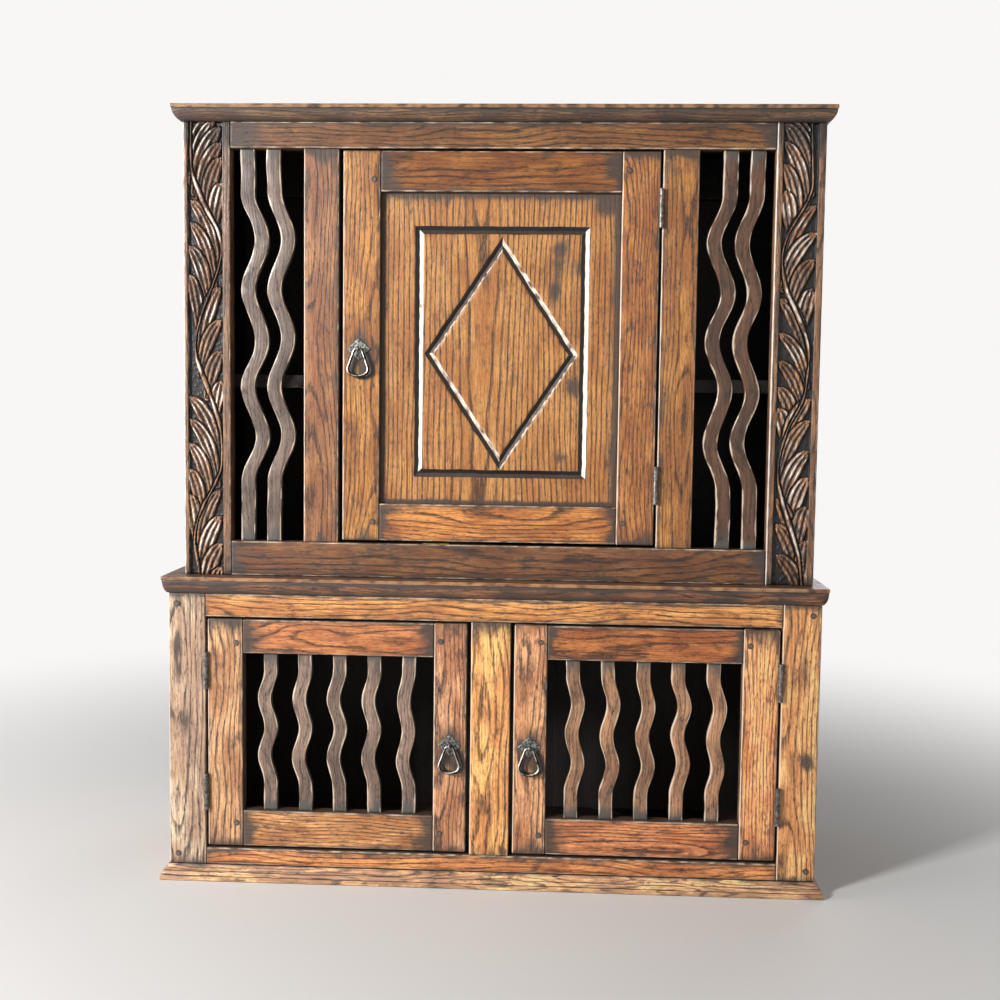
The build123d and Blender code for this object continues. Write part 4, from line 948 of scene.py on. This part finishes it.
class MakeMouldings(bpy.types.Operator):
    """Carries the mouldings of cornice, ledge and base round their boards"""
    bl_idname = "oak_cabinet.make_mouldings"
    bl_label = "Moulded Boards"

    nosing: size_in_mm("Nosing", "Height of the square nosing", 5.0)
    base_nosing: size_in_mm("Base nosing", "Height of the base's square foot", 6.5)
    lip: size_in_mm("Lip", "Step between moulding and nosing", 1.0)

    def execute(self, context):
        # Dirt on a top that lies open; on one that another tier stands on, dirt and painted shade that darken
        # towards and under that tier
        open_top, covered = [0.15, 0.2, 0.25, 0.3, 0.3, 0.3, 0.3, 0.3], [0.15, 0.2, 0.2, 0.4, 0.7, 0.9, 1, 1]
        for seed, node, section in ((101, "cornice_board", partial(self.ovolo, 12.5 * MM, open_top)),
                                    (104, "ledge_board", partial(self.ovolo, 8.0 * MM, covered)),
                                    (107, "base_board", partial(self.ogee, 11.5 * MM))):
            low, high = box(node)
            shape = moulded_board(node, section(low[Z], high[Z]), seed)
            add_piece(f"{node}.moulding", shape, CARCASE, "oak_moulding", node)
        return {"FINISHED"}

    def ovolo(self, reach, top_dirt, z0, z1):
        """Reach, height, wear, and dirt with painted shade, of a quarter-round under a square nosing, from below
        to above.
        """
        shoulder, inner, arris = z1 - self.nosing, reach - self.lip, 0.9 * MM
        curve = bezier([(0, z0), (0.45 * inner, z0), (inner, shoulder - 0.55 * (shoulder - z0)),
                        (inner, shoulder)], 14)
        nose = np.concatenate([arc((reach - arris, shoulder + arris), arris, -90, 0),
                               arc((reach - arris, z1 - arris), arris, 0, 90)])
        under = [(-30 * MM, z0), (-4 * MM, z0)]
        over = [(inward * MM, z1) for inward in (4, 0, -8, -16, -19, -20, -60, -160)]
        line = np.concatenate([under, curve, nose, over])
        wear = np.concatenate([[0, 0], np.full(14, 0.35), np.ones(8), [0.3, 0, 0, 0, 0, 0, 0, 0]])
        # Painted shade: dark under the board, on the ovolo's lower part and in the crease under the nosing
        dirt_and_shade = np.concatenate([[1, 1], np.linspace(0.75, 0.35, 11), [0.5, 0.9, 1.1], [0.7, 0.4, 0.2, 0.15],
                               np.full(4, 0.15), top_dirt])
        return np.column_stack([line, wear, dirt_and_shade])

    def ogee(self, reach, z0, z1):
        """Reach, height, wear, and dirt with painted shade, of an ogee above a square foot, from below to above.
        """
        shoulder, inner, top, arris = z0 + self.base_nosing, reach - self.lip, 1.5 * MM, 0.9 * MM
        middle = (shoulder + z1) / 2
        foot = np.concatenate([arc((reach - arris, z0 + arris), arris, -90, 0),
                               arc((reach - arris, shoulder - arris), arris, 0, 90)])
        curve = bezier([(inner, shoulder), (inner, middle), (top, middle), (top, z1)], 16)
        line = np.concatenate([[(-30 * MM, z0), (0, z0)], foot, curve, [(0, z1), (-30 * MM, z1)]])
        wear = np.concatenate([[0, 0], np.ones(8), [0.3, 0.7, 0.9, 0.9, 0.8, 0.6],
                               np.linspace(0.5, 0.1, 10), [0, 0]])
        # Painted shade: the top, inside the lower tier, is near-black
        dirt_and_shade = np.concatenate([[0.6, 0.6], [0.9, 0.4, 0, 0], [0, 0, 0.3, 0.9], [1.2, 0.2, 0, 0, 0, 0.1, 0.9],
                               np.linspace(0.1, 0.5, 9), [1.4, 1.4]])
        return np.column_stack([line, wear, dirt_and_shade])


class MakeDoors(bpy.types.Operator):
    """Shapes the stiles and rails of the three doors"""
    bl_idname = "oak_cabinet.make_doors"
    bl_label = "Door Frames"

    def execute(self, context):
        arris = context.scene.oak_cabinet.arris / MM
        for number, door in enumerate(DOORS):
            hinge, lock = f"{door}_hinge_stile", f"{door}_lock_stile"
            left, right = sorted((hinge, lock), key=lambda node: box(node)[0][X])
            pivot = PIVOTS[f"{door.replace('_door', '')}_drop_pivot"] / MM
            around_pull = [(pivot[X], pivot[Z] - 4, 22, 36, 0.85), (pivot[X] + 9, pivot[Z] - 20, 15, 22, 1.0)]
            plain, fine = 5.0, 1.3
            for seed, (node, ends, step) in enumerate(((hinge, (0.8, 0.9), plain), (lock, (0.7, 0.5), fine)),
                                                      31 + 10 * number):
                shape = timber(*box(node), Z, seed, arris, ends=ends, sides=(0.6, 0.7), inner=[(Y, 1, DULL)],
                               spots=around_pull, step=step, across=step)
                # The lock stile carries the drop's painted shadow
                if node == lock:
                    self.paint_drop_shadow(shape, box(node)[0][Y], pivot * MM)
                add_piece(f"{node}.wood", shape, door, "oak_door", node)
            for seed, piece in enumerate(("top_rail", "bottom_rail"), 35 + 10 * number):
                node = f"{door}_{piece}"
                shape = timber(*cut_to(node, X, left, right), X, seed, arris, ends=(1.0, 1.0),
                               sides=(0.75, 0.75), inner=[(Y, 1, DULL)])
                add_piece(f"{node}.wood", shape, door, "oak_door", node)
        return {"FINISHED"}

    def paint_drop_shadow(self, shape, face, pivot):
        """Paints the drop's cast shadow near-black on the oak beside it, along the drop's outline moved down and
        to the right.
        """
        points, _, _, layers = shape
        shadow_line = pivot[[X, Z]] + drop_line() + np.array([4.2, -1.6]) * MM
        front = np.flatnonzero((points[:, Y] < face + 4 * MM) & (np.abs(points[:, Z] - pivot[Z]) < 60 * MM))
        offset = strip_place(points[front][:, [X, Z]], shadow_line, np.zeros(len(shadow_line)))[0]
        painted_shadow = 1.4 * smooth(3.6 * MM, 1.4 * MM, np.abs(offset))
        layers["dirt_and_shade"][front] = np.maximum(layers["dirt_and_shade"][front], painted_shadow)


class MakeSlats(bpy.types.Operator):
    """Saws the wavy slats of the open bays and of the lower doors"""
    bl_idname = "oak_cabinet.make_slats"
    bl_label = "Wavy Slats"

    upper_width: size_in_mm("Upper width", "Width of an upper slat", 20.0)
    lower_width: size_in_mm("Lower width", "Width of a lower slat", 19.0)
    stub: size_in_mm("Stub", "Length of a slat inside each rail", 8.0)

    def execute(self, context):
        # Count, width, swing in millimetres, waves, and the length of a wave and of the top as shares
        upper = (2, self.upper_width, 9.5, 3, 0.248, 0.106)
        lower = (5, self.lower_width, 4.2, 2, 0.3715, 0.103)
        rows = (("upper_slats_left", CARCASE, -1, upper), ("upper_slats_right", CARCASE, 1, upper),
                ("lower_left_door_slats", "lower_left_door", 1, lower),
                ("lower_right_door_slats", "lower_right_door", -1, lower))
        for row, (node, body, side, (count, width, swing, turns, wave, top)) in enumerate(rows):
            low, high = box(node)
            hidden = self.stub - 0.5 * MM
            low[Z], high[Z] = low[Z] + hidden, high[Z] - hidden
            height = high[Z] - low[Z]
            reach = width / 2 + swing * MM
            middles = np.linspace(low[X] + reach, high[X] - reach, count)
            slats = [wavy_slat(x, side, low, high, top * height, turns, wave * height, swing * MM, width,
                               120 + 10 * row + i, context.scene.oak_cabinet.slat_uneven)
                     for i, x in enumerate(middles)]
            add_piece(f"{node}.wood", joined(slats), body, "oak_slats", node)
        return {"FINISHED"}


class MakePanel(bpy.types.Operator):
    """Cuts the grooved rectangle and diamond into the upper door's panel"""
    bl_idname = "oak_cabinet.make_panel"
    bl_label = "Grooved Panel"

    side_inset: size_in_mm("Side inset", "Rectangle to stile", 48.2)
    end_inset: size_in_mm("End inset", "Rectangle to rail", 44.5)
    diamond_side: size_in_mm("Diamond side", "Diamond's points to the rectangle's sides", 13.8)
    diamond_end: size_in_mm("Diamond end", "Diamond's points to the rectangle's ends", 16.4)

    def execute(self, context):
        node = "upper_door_panel"
        low, high = box(node)
        tongue, shift = 5 * MM, np.array([2.3 * MM, -3.6 * MM])
        inset = np.array([self.side_inset, self.end_inset]) + tongue
        figure = (low[[X, Z]] + inset + shift, high[[X, Z]] - inset + shift)
        diamond = (figure[1] - figure[0]) / 2 - [self.diamond_side, self.diamond_end]
        points, faces, caps, layers = grooved_panel(low, high, figure, diamond, 201)
        layers["dirt_and_shade"] = stains(points, layers["dirt_and_shade"], [(84, 842, 14, 26, 0.95), (75, 788, 9, 20, 0.95),
                                                         (107, 828, 12, 22, 0.75), (103, 668, 12, 16, 0.85),
                                                         (88, 573, 14, 14, 0.7), (150, 905, 30, 18, 0.95)])
        add_piece(f"{node}.wood", (points, faces, caps, layers), "upper_door", "oak_door", node,
                  finish="oak_panel")
        return {"FINISHED"}


class MakeCarvings(bpy.types.Operator):
    """Carves the running foliage into the two outer stiles"""
    bl_idname = "oak_cabinet.make_carvings"
    bl_label = "Carved Stiles"

    leaf: size_in_mm("Leaf", "Half width of a leaf", 10.6)

    def execute(self, context):
        sizes = context.scene.oak_cabinet
        for seed, (node, carving) in enumerate(CARVINGS.items(), 401):
            shape = carved_stile(*box(node), **carving, depth=sizes.carving_depth, width=self.leaf, seed=seed,
                                 arris=sizes.arris / MM)
            add_piece(f"{node}.carving", shape, CARCASE, "oak_carved", node)
        return {"FINISHED"}


class MakePegs(bpy.types.Operator):
    """Drives the oak pegs"""
    bl_idname = "oak_cabinet.make_pegs"
    bl_label = "Pegs"

    def execute(self, context):
        sets = [("stile_pegs", CARCASE)] + [(f"{door}_pegs", door) for door in DOORS]
        for row, (node, body) in enumerate(sets):
            heads = [peg_head(low, high, 300 + 10 * row + i) for i, (low, high) in enumerate(quarters(node))]
            add_piece(f"{node}.heads", joined(heads), body, "oak_pegs", node)
        return {"FINISHED"}


class MakePulls(bpy.types.Operator):
    """Forges the three pulls: a hammered diamond plate, its clinched eye and a pear-shaped drop"""
    bl_idname = "oak_cabinet.make_pulls"
    bl_label = "Pulls"

    plate_width: size_in_mm("Plate width", "Width of a plate", 33.0)
    plate_height: size_in_mm("Plate height", "Height of a plate", 31.0)
    bar: size_in_mm("Bar", "Radius of the drop's bar", 1.7)
    standoff: size_in_mm("Standoff", "Drop's axis in front of the door", 8.0)

    def execute(self, context):
        turn, around = (np.linspace(0, 2 * pi, count, endpoint=False) for count in (14, 40))
        circle = np.stack([np.cos(turn), np.sin(turn)], 1)
        eye_line = 2.85 * MM * np.stack([0 * around, np.cos(around), np.sin(around)], 1)
        plate_thickness = 1.8 * MM
        loop = drop_line()
        for seed, door in enumerate(DOORS, 501):
            drop = door.replace("_door", "_drop")
            pivot = PIVOTS[f"{drop}_pivot"]
            face = pivot + [0, self.standoff, 0]
            line = np.insert(loop, 1, 0, 1) + pivot
            sunk = smooth(0, -30 * MM, loop[:, 1])
            radius = self.bar * (0.94 + 0.28 * sunk + 0.05 * waves(line, 0.008, seed) * sunk)
            points, faces, caps, layers = bent_bar(line, (0, 1, 0), circle, radius)
            # The crest that faces the front and the left is painted pale as a highlight
            away = (points - np.repeat(line, len(circle), 0)) / np.repeat(radius, len(circle))[:, None]
            pale_share = np.clip(1 + 0.35 * waves(points, 0.006, seed + 1), 0, 1.2)
            layers["wear_and_highlight"] = smooth(0.7, 0.96, away @ (-0.5, -0.85, 0.15)) * pale_share
            add_piece(f"{door}_handle_drop.iron", (points, faces, caps, layers), drop, "wrought_iron",
                      f"{door}_handle_drop", finish="black_iron")
            eye = bent_bar(pivot + eye_line, (1, 0, 0), circle * (1.05, 1.3), np.full(len(eye_line), MM))
            back = box(f"{door}_handle_plate")[1][Y]
            behind = np.array([pivot[X], back, pivot[Z]])
            shank = timber(pivot + np.array([-1.2, 2.6, -1.7]) * MM, behind + np.array([1.2, -0.2, 1.7]) * MM,
                           Y, seed, 0.4, wear=0, sway=0)
            legs = timber(behind + np.array([-1.3, -1.4, -9]) * MM, behind + np.array([1.3, 0, 9]) * MM,
                          Z, seed, 0.4, wear=0, sway=0)
            plate = hammered_plate(face, self.plate_width, self.plate_height, plate_thickness, seed)
            add_piece(f"{door}_handle_plate.iron", joined([plate, eye, shank, legs]), door, "wrought_iron",
                      f"{door}_handle_plate")
        return {"FINISHED"}


class MakeStage(bpy.types.Operator):
    """Sets up the floor, the lamps, the world and the camera"""
    bl_idname = "oak_cabinet.make_stage"
    bl_label = "Stage"

    def execute(self, context):
        scene = context.scene
        scene.view_settings.view_transform = "Standard"
        mesh, half, under = bpy.data.meshes.new("floor"), 6.0, -0.5 * MM
        corners = [(x * half, y * half, under) for x, y in ((-1, -1), (1, -1), (1, 1), (-1, 1))]
        mesh.from_pydata(corners, [], [(0, 1, 2, 3)])
        floor = bpy.data.objects.new("floor", mesh)
        scene.collection.objects.link(floor)
        # Matt paint that runs into the pale background where it is seen far away
        add = new_material("floor_paint")
        paint = add("BsdfPrincipled", {"Base Color": (*scene.oak_cabinet.floor, 1.0), "Roughness": 0.8})
        away = add("VectorMath", [add("TexCoord").outputs["Object"]], operation="LENGTH").outputs["Value"]
        far = add("MapRange", [away, 0.5, 1.8], **SOFT)
        seen = add("Math", [far, self.background_share(add)], operation="MULTIPLY")
        glow = add("Emission", {"Color": "#FBFAF9", "Strength": 0.97})
        add("OutputMaterial", [add("MixShader", [seen, paint.outputs["BSDF"], glow.outputs["Emission"]])])
        mesh.materials.append(FINISHES["floor_paint"])

        world = scene.world or bpy.data.worlds.new("studio")
        scene.world = world
        world.use_nodes = True
        world.node_tree.nodes.clear()
        add = partial(add_node, world.node_tree)
        level = add("MapRange", [self.background_share(add), 0.0, 1.0, 0.22, 0.97])
        add("OutputWorld", [add("Background", {"Color": "#FBFAF9", "Strength": level})])

        # Name, place, target, width and height, and watts
        for lamp in (("key_lamp", (-1.8, -2.0, 1.35), (0, -0.1, 0.45), (0.4, 0.4), 82),
                     ("grazing_lamp", (-2.7, -1.0, 0.55), (0, -0.1, 0.45), (1.5, 0.95), 40),
                     ("front_lamp", (1.1, -3.2, 0.9), (0, -0.1, 0.4), (1.6, 1.2), 5),
                     ("rear_lamp", (1.3, 2.6, 1.5), (0, 0.1, 0.5), (1.6, 1.2), 16)):
            self.lamp(*lamp)
        self.camera(scene)
        return {"FINISHED"}

    def background_share(self, add):
        """How much of the pale background a ray meets: all of it directly or through glass, 0.6 on gloss."""
        path = add("LightPath").outputs
        straight = add("Math", [path["Is Camera Ray"], path["Is Transmission Ray"]], operation="MAXIMUM")
        return add("Math", [path["Is Glossy Ray"], 0.6, straight], operation="MULTIPLY_ADD")

    def lamp(self, name, place, target, size, power):
        """A soft lamp of that width and height that faces its target."""
        data = bpy.data.lights.new(name, "AREA")
        data.shape = "RECTANGLE"
        data.size, data.size_y = size
        data.energy = power
        lamp = bpy.data.objects.new(name, data)
        bpy.context.scene.collection.objects.link(lamp)
        turn = (Vector(target) - Vector(place)).to_track_quat("-Z", "Y").to_matrix().to_4x4()
        lamp.matrix_world = Matrix.Translation(place) @ turn

    def camera(self, scene):
        """The photograph's camera, worked out from the cabinet's corners in it."""
        place, pitch, roll, yaw = (0.093759, -1.845773, 0.651371), -0.0768849, -0.0125748, 0.0494281
        data = bpy.data.cameras.new("camera")
        data.lens, data.sensor_width = 46.8, 36.0
        data.clip_start, data.clip_end = 0.05, 60
        camera = bpy.data.objects.new("camera", data)
        scene.collection.objects.link(camera)
        turn = Matrix.Rotation(yaw, 4, "Z") @ Matrix.Rotation(pitch, 4, "X") @ Matrix.Rotation(roll, 4, "Y")
        camera.matrix_world = Matrix.Translation(place) @ turn @ Matrix.Rotation(pi / 2, 4, "X")
        scene.camera = camera


class OakCabinetPanel(bpy.types.Panel):
    """Lists the cabinet's makers in the sidebar"""
    bl_label = "Oak Cabinet"
    bl_idname = "VIEW3D_PT_oak_cabinet"
    bl_space_type = "VIEW_3D"
    bl_region_type = "UI"
    bl_category = "Oak Cabinet"

    def draw(self, context):
        for size in ("arris", "carving_depth", "slat_uneven", "floor"):
            self.layout.prop(context.scene.oak_cabinet, size)
        for operator in OPERATORS:
            self.layout.operator(operator.bl_idname)


OPERATORS = (MakeFinishes, MakeFrames, MakeBoards, MakeMouldings, MakeDoors, MakeSlats, MakePanel,
             MakeCarvings, MakePegs, MakePulls, MakeStage)
CLASSES = (CabinetSizes, *OPERATORS, OakCabinetPanel)


def register():
    for cls in CLASSES:
        bpy.utils.register_class(cls)
    bpy.types.Scene.oak_cabinet = PointerProperty(type=CabinetSizes)


def unregister():
    del bpy.types.Scene.oak_cabinet
    for cls in reversed(CLASSES):
        bpy.utils.unregister_class(cls)


def main():
    """Makes the cabinet."""
    register()
    for operator in OPERATORS:
        getattr(bpy.ops.oak_cabinet, operator.bl_idname.split(".")[1])()


if __name__ == "__main__":
    main()
